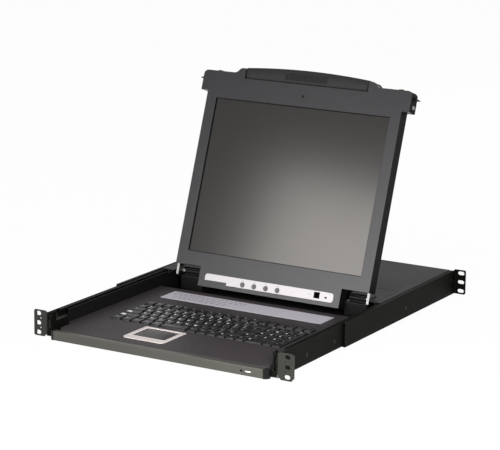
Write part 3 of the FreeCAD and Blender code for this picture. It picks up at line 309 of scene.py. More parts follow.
def noise(tree, scale, detail, roughness=0.5, vector=None):
    """Noise over an object's own coordinates, or over a given vector."""
    vector = vector or place(tree, "ShaderNodeTexCoord").outputs["Object"]
    values = {"Vector": vector, "Scale": scale, "Detail": detail, "Roughness": roughness}
    return place(tree, "ShaderNodeTexNoise", values).outputs[0]


def effect(name, inputs, outputs):
    """A node group with named sockets, as (tree, input node, output node)."""
    tree = bpy.data.node_groups.new(name, "ShaderNodeTree")
    for label, default in inputs:
        socket = tree.interface.new_socket(name=label, in_out="INPUT", socket_type="NodeSocketFloat")
        socket.default_value = default
    for label in outputs:
        tree.interface.new_socket(name=label, in_out="OUTPUT", socket_type="NodeSocketFloat")
    return tree, tree.nodes.new("NodeGroupInput"), tree.nodes.new("NodeGroupOutput")


def edge_wear_group():
    """Where an edge has been rubbed: near sharp corners, broken up by noise."""
    tree, given, result = effect("Edge wear", (("Radius", 0.6 * MM), ("Breakup", 260.0)), ("Mask",))
    bevel = place(tree, "ShaderNodeBevel", {"Radius": given.outputs["Radius"]}, samples=4)
    geometry = place(tree, "ShaderNodeNewGeometry")
    dot = place(tree, "ShaderNodeVectorMath", {0: bevel.outputs[0], 1: geometry.outputs["Normal"]},
                operation="DOT_PRODUCT")
    corner = span(tree, dot.outputs["Value"], 0.99, 0.86, 0.0, 1.0)
    patches = span(tree, noise(tree, given.outputs["Breakup"], 3.0), 0.42, 0.62, 0.15, 1.0)
    tree.links.new(maths(tree, "MULTIPLY", corner, patches), result.inputs["Mask"])
    return tree


def grain_group(name, scale, relief, slow):
    """A surface: relief(tree, scale) is its height, and slow noise (scale, detail, roughness) its shade."""
    tree, given, result = effect(name, (("Scale", scale),), ("Height", "Shade"))
    tree.links.new(relief(tree, given.outputs["Scale"]), result.inputs["Height"])
    tree.links.new(noise(tree, *slow), result.inputs["Shade"])
    return tree


def orange_peel(tree, scale):
    """The height of powder coat."""
    return noise(tree, scale, 2.0)


def pebbles(tree, scale):
    """The height of fine moulded plastic."""
    coords = place(tree, "ShaderNodeTexCoord")
    pebble = place(tree, "ShaderNodeTexVoronoi", {"Vector": coords.outputs["Object"], "Scale": scale},
                   feature="SMOOTH_F1")
    return maths(tree, "ADD", pebble.outputs[0], noise(tree, scale, 3.0))


def drawn_lines(tree, scale):
    """The height of rolled or brushed metal: fine lines along X."""
    coords = place(tree, "ShaderNodeTexCoord")
    stretch = place(tree, "ShaderNodeMapping",
                    {"Vector": coords.outputs["Object"], "Scale": (0.02, 1.0, 1.0)})
    return noise(tree, scale, 4.0, vector=stretch.outputs[0])


def settled_dust_group():
    """A thin film of dust on faces that look up."""
    tree, given, result = effect("Settled dust", (("Scale", 120.0),), ("Mask",))
    geometry = place(tree, "ShaderNodeNewGeometry")
    parts = place(tree, "ShaderNodeSeparateXYZ", {0: geometry.outputs["Normal"]})
    level = span(tree, parts.outputs["Z"], 0.75, 1.0, 0.0, 1.0)
    specks = span(tree, noise(tree, given.outputs["Scale"], 5.0), 0.45, 0.75, 0.2, 1.0)
    tree.links.new(maths(tree, "MULTIPLY", level, specks), result.inputs["Mask"])
    return tree


COATED = "Powder coat"
MOULDED = "Moulded grain"
BRUSHED = "Brushed grain"
GROUP_MAKERS = {
    "Edge wear": edge_wear_group,
    "Settled dust": settled_dust_group,
    COATED: lambda: grain_group(COATED, 900.0, orange_peel, (9.0, 4.0, 0.6)),
    MOULDED: lambda: grain_group(MOULDED, 1500.0, pebbles, (14.0, 3.0, 0.5)),
    BRUSHED: lambda: grain_group(BRUSHED, 1400.0, drawn_lines, (12.0, 2.0, 0.5)),
}


def group(tree, name, values=None):
    """One of the shared effects, placed in a material."""
    shared = bpy.data.node_groups.get(name) or GROUP_MAKERS[name]()
    node = tree.nodes.new("ShaderNodeGroup")
    node.node_tree = shared
    for key, value in (values or {}).items():
        node.inputs[key].default_value = value
    return node


def blank_tree(owner):
    """The emptied node tree of a material or a world."""
    owner.use_nodes = True
    owner.node_tree.nodes.clear()
    return owner.node_tree


def scaled(colour, factor):
    """A colour made lighter or darker, as RGBA."""
    return tuple(min(1.0, channel * factor) for channel in colour[:3]) + (1.0,)


WORN_STEEL = (0.2, 0.2, 0.19)
WORN_PLASTIC = (0.12, 0.12, 0.12)
DUST_COLOUR = (0.42, 0.41, 0.40)
GRAIN_DEPTH = 0.3 * MM


def finish(name, colour, texture, scale, relief, shade, roughness, specular, wear=0.0, worn=WORN_STEEL,
           dust=0.0, metallic=0.0, gloss=(1.0, 1.0, 1.0), spread=0.04):
    """A material: a colour that shifts a little, a textured surface, rubbed edges and dust."""
    material = bpy.data.materials.new(name)
    tree = blank_tree(material)
    grain = group(tree, texture, {"Scale": scale})
    tint = mix_colours(tree, grain.outputs["Shade"], scaled(colour, 1 - shade), scaled(colour, 1 + shade))
    for effect_name, share, over in (("Edge wear", wear, worn), ("Settled dust", dust, DUST_COLOUR)):
        if share:
            mask = maths(tree, "MULTIPLY", group(tree, effect_name).outputs["Mask"], share)
            tint = mix_colours(tree, mask, tint, scaled(over, 1.0))
    rough = span(tree, grain.outputs["Shade"], 0.3, 0.7, roughness - spread, roughness + spread)
    bump = place(tree, "ShaderNodeBump",
                 {"Strength": relief, "Distance": GRAIN_DEPTH, "Height": grain.outputs["Height"]})
    shader = place(tree, "ShaderNodeBsdfPrincipled",
                   {"Base Color": tint, "Roughness": rough, "Normal": bump.outputs[0], "Metallic": metallic,
                    "Specular IOR Level": specular, "Specular Tint": scaled(gloss, 1.0)})
    place(tree, "ShaderNodeOutputMaterial", {"Surface": shader.outputs[0]})
    return material


# Every finish by its slot: its name, its colour (one of the panel's, or its own), its texture with
# scale, relief and change of shade, its roughness, its shine, and what else it has.
FINISH_TABLE = {
    "rail_steel": ("Rail powder coat", "rail", COATED, 950.0, 0.35, 0.12, 0.5, 0.03, {"wear": 0.3}),
    "ear_steel": ("Ear powder coat", "ear", COATED, 950.0, 0.4, 0.12, 0.5, 0.15, {"wear": 0.3}),
    "cover_steel": ("Cover powder coat", "cover", COATED, 900.0, 0.35, 0.1, 0.5, 0.09,
                    {"wear": 0.3, "dust": 0.01}),
    "lid_back_paint": ("Lid back paint", tone(17, 17, 16), COATED, 900.0, 0.35, 0.1, 0.5, 0.04,
                       {"wear": 0.15}),
    "tray_steel": ("Tray powder coat", "tray", COATED, 950.0, 0.3, 0.1, 0.5, 0.1, {"wear": 0.3}),
    "lip_metal": ("Lip satin paint", "lip", BRUSHED, 1500.0, 0.15, 0.08, 0.36, 0.3,
                  {"wear": 0.35, "worn": (0.3, 0.3, 0.28)}),
    "slide_steel": ("Slide plating", "slide", BRUSHED, 1300.0, 0.2, 0.1, 0.38, 0.5, {"metallic": 0.9}),
    "bare_steel": ("Bare hinge steel", "steel", BRUSHED, 1600.0, 0.15, 0.06, 0.42, 0.5, {"metallic": 1.0}),
    "deck_plastic": ("Deck plastic", "deck", MOULDED, 1500.0, 0.25, 0.06, 0.46, 0.06,
                     {"wear": 0.2, "worn": WORN_PLASTIC}),
    "key_plastic": ("Keycap plastic", "key", MOULDED, 2200.0, 0.15, 0.1, 0.34, 0.24,
                    {"wear": 0.2, "worn": WORN_PLASTIC}),
    "cap_plastic": ("Black plastic", tone(15, 15, 15), MOULDED, 2200.0, 0.12, 0.1, 0.42, 0.2, {}),
    "legend_print": ("Legend print", "legend", MOULDED, 3000.0, 0.0, 0.03, 0.5, 0.2, {}),
    "pale_plastic": ("Pale pad plastic", "pale", MOULDED, 1800.0, 0.12, 0.03, 0.38, 0.3,
                     {"wear": 0.2, "worn": (0.6, 0.58, 0.57)}),
    "pad_film": ("Pad film", "pad", MOULDED, 3200.0, 0.1, 0.05, 0.4, 0.2, {}),
    "label_film": ("Label film", "label", MOULDED, 900.0, 0.06, 0.03, 0.45, 0.2, {}),
    "label_print": ("Label print", tone(64, 60, 70), MOULDED, 3000.0, 0.0, 0.05, 0.5, 0.2, {}),
    "bezel_plastic": ("Bezel plastic", "bezel", MOULDED, 2200.0, 0.09, 0.06, 0.28, 0.36,
                      {"wear": 0.2, "worn": (0.12, 0.12, 0.13), "spread": 0.003}),
    "handle_plastic": ("Handle plastic", "handle", MOULDED, 1500.0, 0.22, 0.08, 0.4, 0.11,
                       {"wear": 0.3, "worn": (0.14, 0.14, 0.14)}),
    "screen_glass": ("Screen surface", "screen", MOULDED, 4000.0, 0.0, 0.04, 0.16, 0.5,
                     {"gloss": (1.0, 0.955, 0.915), "spread": 0.004}),
    "gasket": ("Gasket rubber", tone(6, 6, 6), MOULDED, 1600.0, 0.2, 0.1, 0.6, 0.1, {}),
    "control_film": ("Control film", "control", MOULDED, 1200.0, 0.05, 0.02, 0.4, 0.2, {}),
    "control_print": ("Control print", tone(120, 118, 120), MOULDED, 3000.0, 0.0, 0.03, 0.5, 0.2, {}),
    "button_plastic": ("Button plastic", "button", MOULDED, 2400.0, 0.12, 0.05, 0.4, 0.2, {}),
    "display_dark": ("Display window", tone(6, 6, 6), MOULDED, 3000.0, 0.0, 0.05, 0.5, 0.0, {}),
    "board_laminate": ("Board laminate", "board", MOULDED, 900.0, 0.1, 0.1, 0.35, 0.5, {}),
    "supply_metal": ("Supply casing", "slide", BRUSHED, 900.0, 0.2, 0.1, 0.42, 0.5, {"metallic": 0.9}),
    "port_metal": ("Port plating", "port", BRUSHED, 1500.0, 0.12, 0.08, 0.3, 0.5, {"metallic": 1.0}),
    "screw_metal": ("Blackened screws", tone(22, 22, 21), BRUSHED, 1500.0, 0.1, 0.08, 0.4, 0.1,
                    {"wear": 0.3}),
    "lamp_plastic": ("Lamp lens", tone(8, 10, 9), MOULDED, 2600.0, 0.05, 0.05, 0.3, 0.1, {}),
}


# The finishes once they are mixed, and the CAD nodes that wear each finish.
FINISHES = {}
NODES_BY_FINISH = {
    "rail_steel": "left_rail right_rail left_rear_bracket right_rear_bracket "
                  "left_slide_inner right_slide_inner",
    "ear_steel": "latch_keepers",
    "slide_steel": "left_slide_outer right_slide_outer left_slide_middle right_slide_middle",
    "tray_steel": "tray_pan",
    "cover_steel": "tray_rear_cover rear_case rear_case_cover",
    "board_laminate": "switch_board lid_control_board",
    "supply_metal": "power_supply",
    "port_metal": "computer_ports console_ports ground_screw",
    "cap_plastic": "power_inlet power_rocker lip_end_caps key_plate left_hinge_body right_hinge_body "
                   "left_latch right_latch",
    "lip_metal": "front_lip",
    "lamp_plastic": "power_led",
    "deck_plastic": "keyboard_deck",
    "key_plastic": "key_row_1 key_row_2 key_row_3 key_row_4 key_row_5 key_row_6 space_bar",
    "pale_plastic": "pad_frame left_click_button right_click_button",
    "pad_film": "touch_pad",
    "label_film": "label_strip",
    "bare_steel": "hinge_arms hinge_pins",
    "bezel_plastic": "lid_bezel",
    "lid_back_paint": "lid_back_cover",
    "screen_glass": "lcd_panel",
    "handle_plastic": "lid_handle",
    "control_film": "control_plate",
    "button_plastic": "menu_button_1 menu_button_2 menu_button_3 menu_button_4",
    "display_dark": "port_display",
}
NODE_FINISH = {node: finish_name for finish_name, nodes in NODES_BY_FINISH.items() for node in nodes.split()}


# ---- meshes ----
def new_piece(name, mesh, material, body, replaced=()):
    """A finished piece that rides a body and may stand for CAD nodes."""
    piece = bpy.data.objects.new(name, mesh)
    bpy.context.scene.collection.objects.link(piece)
    mesh.materials.clear()
    mesh.materials.append(FINISHES[material])
    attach(piece, body)
    if replaced:
        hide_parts(*replaced)
    return piece


def mesh_from(name, bm, sharp=SHARP_ANGLE, transform=None):
    """A mesh with smooth faces whose steep edges stay crisp."""
    if transform is not None:
        bm.transform(transform)
    bm.normal_update()
    for face in bm.faces:
        face.smooth = True
    for edge in bm.edges:
        edge.smooth = len(edge.link_faces) == 2 and edge.calc_face_angle() < sharp
    mesh = bpy.data.meshes.new(name)
    bm.to_mesh(mesh)
    bm.free()
    return mesh


def drawer_piece(name, bm, material, body="drawer", replaced=()):
    """A piece drawn in the frame's own coordinates."""
    return new_piece(name, mesh_from(name, bm), material, body, replaced)


def lid_piece(name, bm, material, body="lid", replaced=(), sharp=SHARP_ANGLE):
    """A piece drawn on the upright lid, leaned back with it."""
    return new_piece(name, mesh_from(name, bm, sharp, ON_LID), material, body, replaced)


def welded(node):
    """The CAD node's mesh with its split corners joined."""
    bm = bmesh.new()
    bm.from_mesh(NODES[node].data)
    bmesh.ops.remove_doubles(bm, verts=bm.verts, dist=WELD)
    return bm


def round_edges(piece, width, segments=2):
    """Round a piece's steep edges."""
    bevel = piece.modifiers.new("Round edges", "BEVEL")
    bevel.width = width
    bevel.segments = segments
    bevel.limit_method = "ANGLE"
    bevel.angle_limit = SHARP_ANGLE
    bevel.harden_normals = True


def bevelled(node, width, segments=2):
    """The CAD node's shape with small round edges, in its place."""
    bm = welded(node)
    bmesh.ops.dissolve_limit(bm, angle_limit=FLAT_ANGLE, verts=bm.verts, edges=bm.edges)
    piece = new_piece(node + "_shell", mesh_from(node + "_mesh", bm), NODE_FINISH[node],
                      body_of(NODES[node])[0], (node,))
    round_edges(piece, width, segments)
    weighted = piece.modifiers.new("Flat faces", "WEIGHTED_NORMAL")
    weighted.keep_sharp = True
    return piece


def corners_of(points):
    """The (low, high) corners of the box around some points."""
    low = Vector([min(point[axis] for point in points) for axis in range(3)])
    high = Vector([max(point[axis] for point in points) for axis in range(3)])
    return low, high


def lid_box(node):
    """The (low, high) corners of a lid node in the upright lid's coordinates."""
    return corners_of([OFF_LID @ vertex.co for vertex in NODES[node].data.vertices])


def rounded_ring(half_x, half_y, radius):
    """The corners of a rounded rectangle about the origin, anticlockwise."""
    radius = min(radius, half_x, half_y)
    points = []
    for turn, (sign_x, sign_y) in enumerate(((1, 1), (-1, 1), (-1, -1), (1, -1))):
        centre = Vector((sign_x * (half_x - radius), sign_y * (half_y - radius)))
        for step in range(CORNER_STEPS + 1):
            angle = math.pi / 2 * (turn + step / CORNER_STEPS)
            points.append(centre + radius * Vector((math.cos(angle), math.sin(angle))))
    return points


def level_ring(x, y, half_x, half_y, radius, height):
    """A rounded rectangle that lies level at a height."""
    return [Vector((x + point.x, y + point.y, height)) for point in rounded_ring(half_x, half_y, radius)]


def facing_ring(x, z, half_x, half_z, radius, depth):
    """A rounded rectangle that faces the front at a depth."""
    return [Vector((x + point.x, depth, z + point.y)) for point in rounded_ring(half_x, half_z, radius)]


def loft(bm, rings, capped=True, joined=False):
    """Quads between rings of equal count, with flat ends, open ends, or the ends joined."""
    rows = [[bm.verts.new(point) for point in ring] for ring in rings]
    pairs = list(zip(rows, rows[1:]))
    if joined:
        pairs.append((rows[-1], rows[0]))
    for low, high in pairs:
        for index in range(len(low)):
            after = (index + 1) % len(low)
            bm.faces.new((low[index], low[after], high[after], high[index]))
    if capped:
        bm.faces.new(rows[0][::-1])
        bm.faces.new(rows[-1])


def turned(bm, profile, centre, axis, steps=24, hexagon=None):
    """A solid of revolution from (radius, distance) pairs. The radius named hexagon has six flats."""
    turn = Vector((0, 0, 1)).rotation_difference(Vector(axis)).to_matrix()
    rings = []
    for radius, along in profile:
        ring = []
        for step in range(steps):
            angle = 2 * math.pi * step / steps
            reach = radius
            if radius == hexagon:
                reach *= math.cos(math.pi / 6) / math.cos(angle % (math.pi / 3) - math.pi / 6)
            point = Vector((reach * math.cos(angle), reach * math.sin(angle), along))
            ring.append(Vector(centre) + turn @ point)
        rings.append(ring)
    loft(bm, rings)


def slab(bm, x, y, half_x, half_y, radius, low, high, edge=0.0):
    """An upright rounded slab between two heights, its top edge eased."""
    rings = []
    for height, inset in ((low, 0.0), (high - edge, 0.0), (high - edge * 0.3, edge * 0.3), (high, edge)):
        corner = max(radius - inset, 0.1 * MM)
        rings.append(level_ring(x, y, half_x - inset, half_y - inset, corner, height))
    loft(bm, rings)


def face_slab(bm, x, z, half_x, half_z, radius, back, front):
    """A rounded slab that faces the front, from back to front along -Y."""
    loft(bm, [facing_ring(x, z, half_x, half_z, radius, depth) for depth in (back, front)])


def prism(bm, points, depths):
    """A flat outline of (x, z) points seen from the front, between two depths."""
    loft(bm, [[(x, depth, z) for x, z in points] for depth in depths])


def glyph_points(character):
    """The flat mesh of one character at unit size, as (vertices, faces) about its middle."""
    curve = bpy.data.curves.new("glyph", "FONT")
    curve.body = character
    curve.resolution_u = 2
    curve.offset = STROKE_SWELL
    curve.align_x = "CENTER"
    curve.align_y = "CENTER"
    letter = bpy.data.objects.new("glyph", curve)
    bpy.context.scene.collection.objects.link(letter)
    bpy.context.view_layer.update()
    mesh = bpy.data.meshes.new_from_object(letter.evaluated_get(bpy.context.evaluated_depsgraph_get()))
    vertices = [vertex.co.copy() for vertex in mesh.vertices]
    faces = [tuple(face.vertices) for face in mesh.polygons]
    bpy.data.objects.remove(letter)
    bpy.data.curves.remove(curve)
    bpy.data.meshes.remove(mesh)
    return vertices, faces


# ---- keys ----
def key_boxes(node):
    """The (low, high) corners of each key of a row, from left to right."""
    bm = welded(node)
    unseen = set(bm.verts)
    boxes = []
    while unseen:
        stack = [unseen.pop()]
        island = []
        while stack:
            vertex = stack.pop()
            island.append(vertex.co.copy())
            for edge in vertex.link_edges:
                other = edge.other_vert(vertex)
                if other in unseen:
                    unseen.discard(other)
                    stack.append(other)
        boxes.append(corners_of(island))
    bm.free()
    return sorted(boxes, key=lambda corners: corners[0].x)


def key_surface(low, high, dish, x, y):
    """The height of a keycap's hollow top at a point."""
    centre = (low + high) / 2
    across = abs(x - centre.x) / ((high.x - low.x) / 2 - KEY_TAPER)
    along = abs(y - centre.y) / ((high.y - low.y) / 2 - KEY_TAPER)
    return high.z - dish * (1 - min(1.0, max(across, along)) ** 2)


def keycap(bm, low, high, sizes):
    """A keycap with tapered skirts, soft corners, a hollow top and its stem."""
    centre = (low + high) / 2
    half_x = (high.x - low.x) / 2
    half_y = (high.y - low.y) / 2
    base = high.z - KEY_SKIRT
    corner = sizes.key_corner
    skirt = [(base, 0.0, 0.6 * MM), (base + 0.4 * MM, 0.12 * MM, 0.8 * MM),
             (high.z - 0.9 * MM, KEY_TAPER * 0.74, corner), (high.z - 0.25 * MM, KEY_TAPER * 0.93, corner),
             (high.z, KEY_TAPER + 0.25 * MM, corner)]
    rings = [level_ring(centre.x, centre.y, half_x - inset, half_y - inset, radius, level)
             for level, inset, radius in skirt]
    for share in (0.82, 0.6, 0.35):
        level = high.z - sizes.key_dish * (1 - share ** 2)
        rings.append(level_ring(centre.x, centre.y, (half_x - KEY_TAPER) * share,
                                (half_y - KEY_TAPER) * share, corner * share, level))
    loft(bm, rings)
    half = KEY_STEM / 2
    square = ((-half, -half), (half, -half), (half, half), (-half, half))
    loft(bm, [[(centre.x + x, centre.y + y, level) for x, y in square] for level in (low.z, base)])


def legend(bm, glyph, low, high, dish, left, far, size):
    """A printed character laid on a keycap's hollow top."""
    vertices, faces = glyph
    made = []
    for point in vertices:
        x = left + point.x * size
        y = far + point.y * size
        z = key_surface(low, high, dish, x, y) + PRINT_LIFT
        made.append(bm.verts.new((x, y, min(z, high.z))))
    for face in faces:
        bm.faces.new([made[index] for index in face])


class CONSOLE_OT_keys(bpy.types.Operator):
    """Build the keycaps of the six rows and the space bar, with their printed legends"""
    bl_idname = "console.keys"
    bl_label = "Keys"

    def execute(self, context):
        sizes = context.scene.console_sizes
        glyphs = {}
        for row, legends in enumerate(KEY_LEGENDS):
            node = f"key_row_{row + 1}"
            boxes = key_boxes(node)
            if len(boxes) != len(legends):
                raise RuntimeError(f"{node} has {len(boxes)} keys for {len(legends)} legends")
            caps = bmesh.new()
            marks = bmesh.new()
            for (low, high), character in zip(boxes, legends):
                keycap(caps, low, high, sizes)
                if character not in glyphs:
                    glyphs[character] = glyph_points(character)
                self.mark_key(marks, glyphs[character], low, high, sizes, row, character)
            if row in ROWS_WITH_PALE_KEY:
                low, high = boxes[0]
                slab(marks, low.x + PALE_BLOCK_LEFT, (low.y + high.y) / 2, *PALE_BLOCK_HALF, 0.6 * MM,
                     high.z - 0.4 * MM, high.z - 0.04 * MM)
            body = body_of(NODES[node])[0]
            drawer_piece(node + "_caps", caps, "key_plastic", body, (node,))
            drawer_piece(node + "_print", marks, "legend_print", body)
        low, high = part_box("space_bar")
        bar = bmesh.new()
        keycap(bar, low, high, sizes)
        drawer_piece("space_bar_cap", bar, "key_plastic", "space_key", ("space_bar",))
        return {"FINISHED"}

    def mark_key(self, marks, glyph, low, high, sizes, row, character):
        """The legend of one key: a character in its far left corner and a small mark beside it."""
        left = low.x + LEGEND_LEFT
        far = high.y - LEGEND_FAR
        size = sizes.legend_height * (FUNCTION_SHARE if row == FUNCTION_ROW else 1.0)
        spots = [(left, far, size)]
        if row == NUMBER_ROW or character in ",./;'[]":
            spots.append((left + SECOND_LEFT, low.y + SECOND_NEAR, size * SECOND_SHARE))
        if row != FUNCTION_ROW and character == "-" and high.x - low.x > WIDE_KEY:
            spots.append((left + STROKE_STEP, far, size))
        for spot in spots:
            legend(marks, glyph, low, high, sizes.key_dish, *spot)


# ---- stage ----
def seen_rays(tree):
    """1 for a ray of the view, a reflection or clear glass, else 0."""
    path = place(tree, "ShaderNodeLightPath")
    seen = maths(tree, "MAXIMUM", path.outputs["Is Camera Ray"], path.outputs["Is Glossy Ray"])
    return maths(tree, "MAXIMUM", seen, path.outputs["Is Transmission Ray"])


def floor_material():
    """A white floor that glows a little to the view and keeps a faint shadow."""
    material = bpy.data.materials.new("Studio floor")
    tree = blank_tree(material)
    diffuse = place(tree, "ShaderNodeBsdfDiffuse", {"Color": (0.9, 0.9, 0.9, 1.0)})
    glow = place(tree, "ShaderNodeEmission", {"Color": (1.0, 1.0, 1.0, 1.0), "Strength": 1.0})
    share = maths(tree, "MULTIPLY", seen_rays(tree), FLOOR_GLOW)
    mix = place(tree, "ShaderNodeMixShader", {0: share, 1: diffuse.outputs[0], 2: glow.outputs[0]})
    place(tree, "ShaderNodeOutputMaterial", {"Surface": mix.outputs[0]})
    return material


def soft_box(name, spot, target, width, height, power, mirrored):
    """A rectangular studio lamp that looks at a target, seen or not in reflections."""
    lamp = bpy.data.lights.new(name, "AREA")
    lamp.shape = "RECTANGLE"
    lamp.size = width
    lamp.size_y = height
    lamp.energy = power
    stand = bpy.data.objects.new(name, lamp)
    stand.location = spot
    stand.rotation_euler = (Vector(target) - Vector(spot)).to_track_quat("-Z", "Y").to_euler()
    stand.visible_camera = False
    stand.visible_glossy = mirrored
    bpy.context.scene.collection.objects.link(stand)


class CONSOLE_OT_stage(bpy.types.Operator):
    """Set the camera, the white floor, the world and the soft lamps"""
    bl_idname = "console.stage"
    bl_label = "Stage"

    def execute(self, context):
        scene = context.scene
        lens = bpy.data.cameras.new("Camera")
        lens.lens = CAMERA_LENS
        lens.sensor_width = SENSOR_WIDTH
        lens.clip_end = 50.0
        camera = bpy.data.objects.new("Camera", lens)
        axes = Matrix((CAMERA_RIGHT, CAMERA_UP, CAMERA_RIGHT.cross(CAMERA_UP))).transposed()
        camera.matrix_world = Matrix.Translation(CAMERA_PLACE) @ axes.to_4x4()
        scene.collection.objects.link(camera)
        scene.camera = camera
        self.floor(scene)
        self.world(scene)
        for lamp in LAMPS:
            soft_box(*lamp)
        scene.view_settings.view_transform = "Standard"
        return {"FINISHED"}

    def floor(self, scene):
        """The floor lies just under the lowest point of the rack ears."""
        height = CAD_BOUNDS[0][2] - FLOOR_GAP
        half = FLOOR_HALF
        bm = bmesh.new()
        square = ((-half, -half), (half, -half), (half, half), (-half, half))
        bm.faces.new([bm.verts.new((x, y, height)) for x, y in square])
        mesh = bpy.data.meshes.new("Studio floor")
        bm.to_mesh(mesh)
        bm.free()
        mesh.materials.append(floor_material())
        floor = bpy.data.objects.new("Studio_floor", mesh)
        scene.collection.objects.link(floor)

    def world(self, scene):
        """White to the view and to reflections, softer as light on the object."""
        scene.world = bpy.data.worlds.new("Studio")
        tree = blank_tree(scene.world)
        soft = place(tree, "ShaderNodeBackground", {"Color": (1.0, 1.0, 1.0, 1.0), "Strength": WORLD_LIGHT})
        white = place(tree, "ShaderNodeBackground", {"Color": (1.0, 1.0, 1.0, 1.0), "Strength": 1.0})
        mix = place(tree, "ShaderNodeMixShader",
                    {0: seen_rays(tree), 1: soft.outputs[0], 2: white.outputs[0]})
        place(tree, "ShaderNodeOutputWorld", {"Surface": mix.outputs[0]})


class CONSOLE_OT_finishes(bpy.types.Operator):
    """Mix every finish and lay it on the frame's nodes"""
    bl_idname = "console.finishes"
    bl_label = "Finishes"

    def execute(self, context):
        colours = context.scene.console_colours
        for slot, (name, paint, *values, more) in FINISH_TABLE.items():
            colour = getattr(colours, paint) if isinstance(paint, str) else paint
            FINISHES[slot] = finish(name, colour, *values, **more)
        for node, shown in NODES.items():
            shown.data.materials.clear()
            shown.data.materials.append(FINISHES[NODE_FINISH[node]])
        return {"FINISHED"}


# ---- chassis and drawer ----
class CONSOLE_OT_sheet_metal(bpy.types.Operator):
    """Round the edges of the rails, brackets, slides, tray and covers"""
    bl_idname = "console.sheet_metal"
    bl_label = "Sheet metal"

    def execute(self, context):
        edge = context.scene.console_sizes.sheet_edge
        for node in ("left_rear_bracket", "right_rear_bracket", "left_slide_inner", "right_slide_inner",
                     "tray_pan", "tray_rear_cover", "rear_case", "rear_case_cover", "latch_keepers",
                     "left_slide_outer", "right_slide_outer", "left_slide_middle", "right_slide_middle",
                     "power_supply", "switch_board", "lid_control_board", "key_plate"):
            bevelled(node, edge)
        for node in ("left_rail", "right_rail"):
            rail = bevelled(node, edge)
            rail.data.materials.append(FINISHES["ear_steel"])
            outer = max(abs(vertex.co.x) for vertex in rail.data.vertices)
            for face in rail.data.polygons:
                if face.center.y < EAR_DEPTH and abs(face.center.x) > outer - EAR_REACH:
                    face.material_index = 1
        return {"FINISHED"}


class CONSOLE_OT_lip(bpy.types.Operator):
    """Dress the front lip, its moulded ends and its lamp"""
    bl_idname = "console.lip"
    bl_label = "Front lip"

    def execute(self, context):
        bevelled("front_lip", 0.5 * MM)
        bevelled("lip_end_caps", 0.6 * MM, 3)
        low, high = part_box("power_led")
        middle = (low + high) / 2
        lens = bmesh.new()
        turned(lens, ((LAMP_RADIUS, 3.5 * MM), (LAMP_RADIUS, 0.5 * MM), (LAMP_RIM, 0.1 * MM),
                      (LAMP_RIM, -0.02 * MM), (LAMP_RADIUS * 0.9, -0.02 * MM), (LAMP_RADIUS * 0.4, 0.1 * MM)),
               (middle.x, low.y, middle.z), (0, 1, 0))
        drawer_piece("lamp_lens", lens, "lamp_plastic", replaced=("power_led",))
        mark = bmesh.new()
        face_slab(mark, middle.x + LAMP_MARK_OFFSET, middle.z, 4.6 * MM, 0.8 * MM, 0.3 * MM,
                  low.y + 0.1 * MM, low.y - 0.015 * MM)
        drawer_piece("lamp_mark", mark, "legend_print")
        return {"FINISHED"}


class CONSOLE_OT_deck(bpy.types.Operator):
    """Dress the keyboard deck, the pointing pad and the label strip"""
    bl_idname = "console.deck"
    bl_label = "Deck"

    def execute(self, context):
        sizes = context.scene.console_sizes
        bevelled("keyboard_deck", sizes.moulded_edge, 3)
        self.pad_frame(sizes.pad_lap)
        self.pad(sizes.pad_lap)
        bevelled("left_click_button", 0.5 * MM, 3)
        bevelled("right_click_button", 0.5 * MM, 3)
        self.label()
        return {"FINISHED"}

    def pad_frame(self, lap):
        """The pale frame: a soft-edged ring round the pad on its flange under the deck."""
        low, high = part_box("pad_frame")
        pad_low, pad_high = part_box("touch_pad")
        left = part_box("left_click_button")
        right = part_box("right_click_button")
        flange = left[0].x - low.x
        front = left[1].y + FRAME_GAP
        back = high.y - flange
        outer = ((left[0].x + right[1].x) / 2, (front + back) / 2,
                 (right[1].x - left[0].x) / 2, (back - front) / 2)
        inner = ((pad_low.x + pad_high.x) / 2, (pad_low.y + pad_high.y + lap) / 2,
                 (pad_high.x - pad_low.x) / 2 + lap, (pad_high.y - pad_low.y + lap) / 2)
        soft = FRAME_EDGE
        rings = [level_ring(x, y, half_x + grow, half_y + grow, FRAME_CORNER, height)
                 for (x, y, half_x, half_y), grow, height in (
                     (outer, 0.0, pad_low.z), (outer, 0.0, high.z - soft),
                     (outer, -soft * 0.3, high.z - soft * 0.3), (outer, -soft, high.z),
                     (inner, soft, high.z), (inner, soft * 0.3, high.z - soft * 0.3),
                     (inner, 0.0, high.z - soft), (inner, 0.0, pad_low.z))]
        frame_mesh = bmesh.new()
        loft(frame_mesh, rings, False)
        slab(frame_mesh, (low.x + high.x) / 2, (low.y + high.y) / 2, (high.x - low.x) / 2,
             (high.y - low.y) / 2, 0.5 * MM, low.z, pad_low.z)
        drawer_piece("pad_surround", frame_mesh, "pale_plastic", replaced=("pad_frame",))

    def pad(self, lap):
        """The pointing pad, a soft-cornered plate level with its frame's step."""
        low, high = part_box("touch_pad")
        middle = (low + high) / 2
        pad = bmesh.new()
        slab(pad, middle.x, middle.y + lap / 2, (high.x - low.x) / 2 + lap - PAD_GAP,
             (high.y - low.y + lap) / 2 - PAD_GAP, 1.0 * MM, low.z, high.z, 0.3 * MM)
        drawer_piece("pad_face", pad, "pad_film", replaced=("touch_pad",))

    def label(self):
        """The film behind the keys, with plain rules where its print would be."""
        bevelled("label_strip", 0.15 * MM)
        low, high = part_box("label_strip")
        rules = bmesh.new()
        for share, along, end, spacing in LABEL_ROWS:
            y = low.y + (high.y - low.y) * share
            while along < end:
                slab(rules, low.x + along + spacing * 0.35, y, spacing * 0.33, 0.8 * MM, 0.3 * MM,
                     high.z - 0.1 * MM, high.z + 0.01 * MM)
                along += spacing
        drawer_piece("label_rules", rules, "label_print")


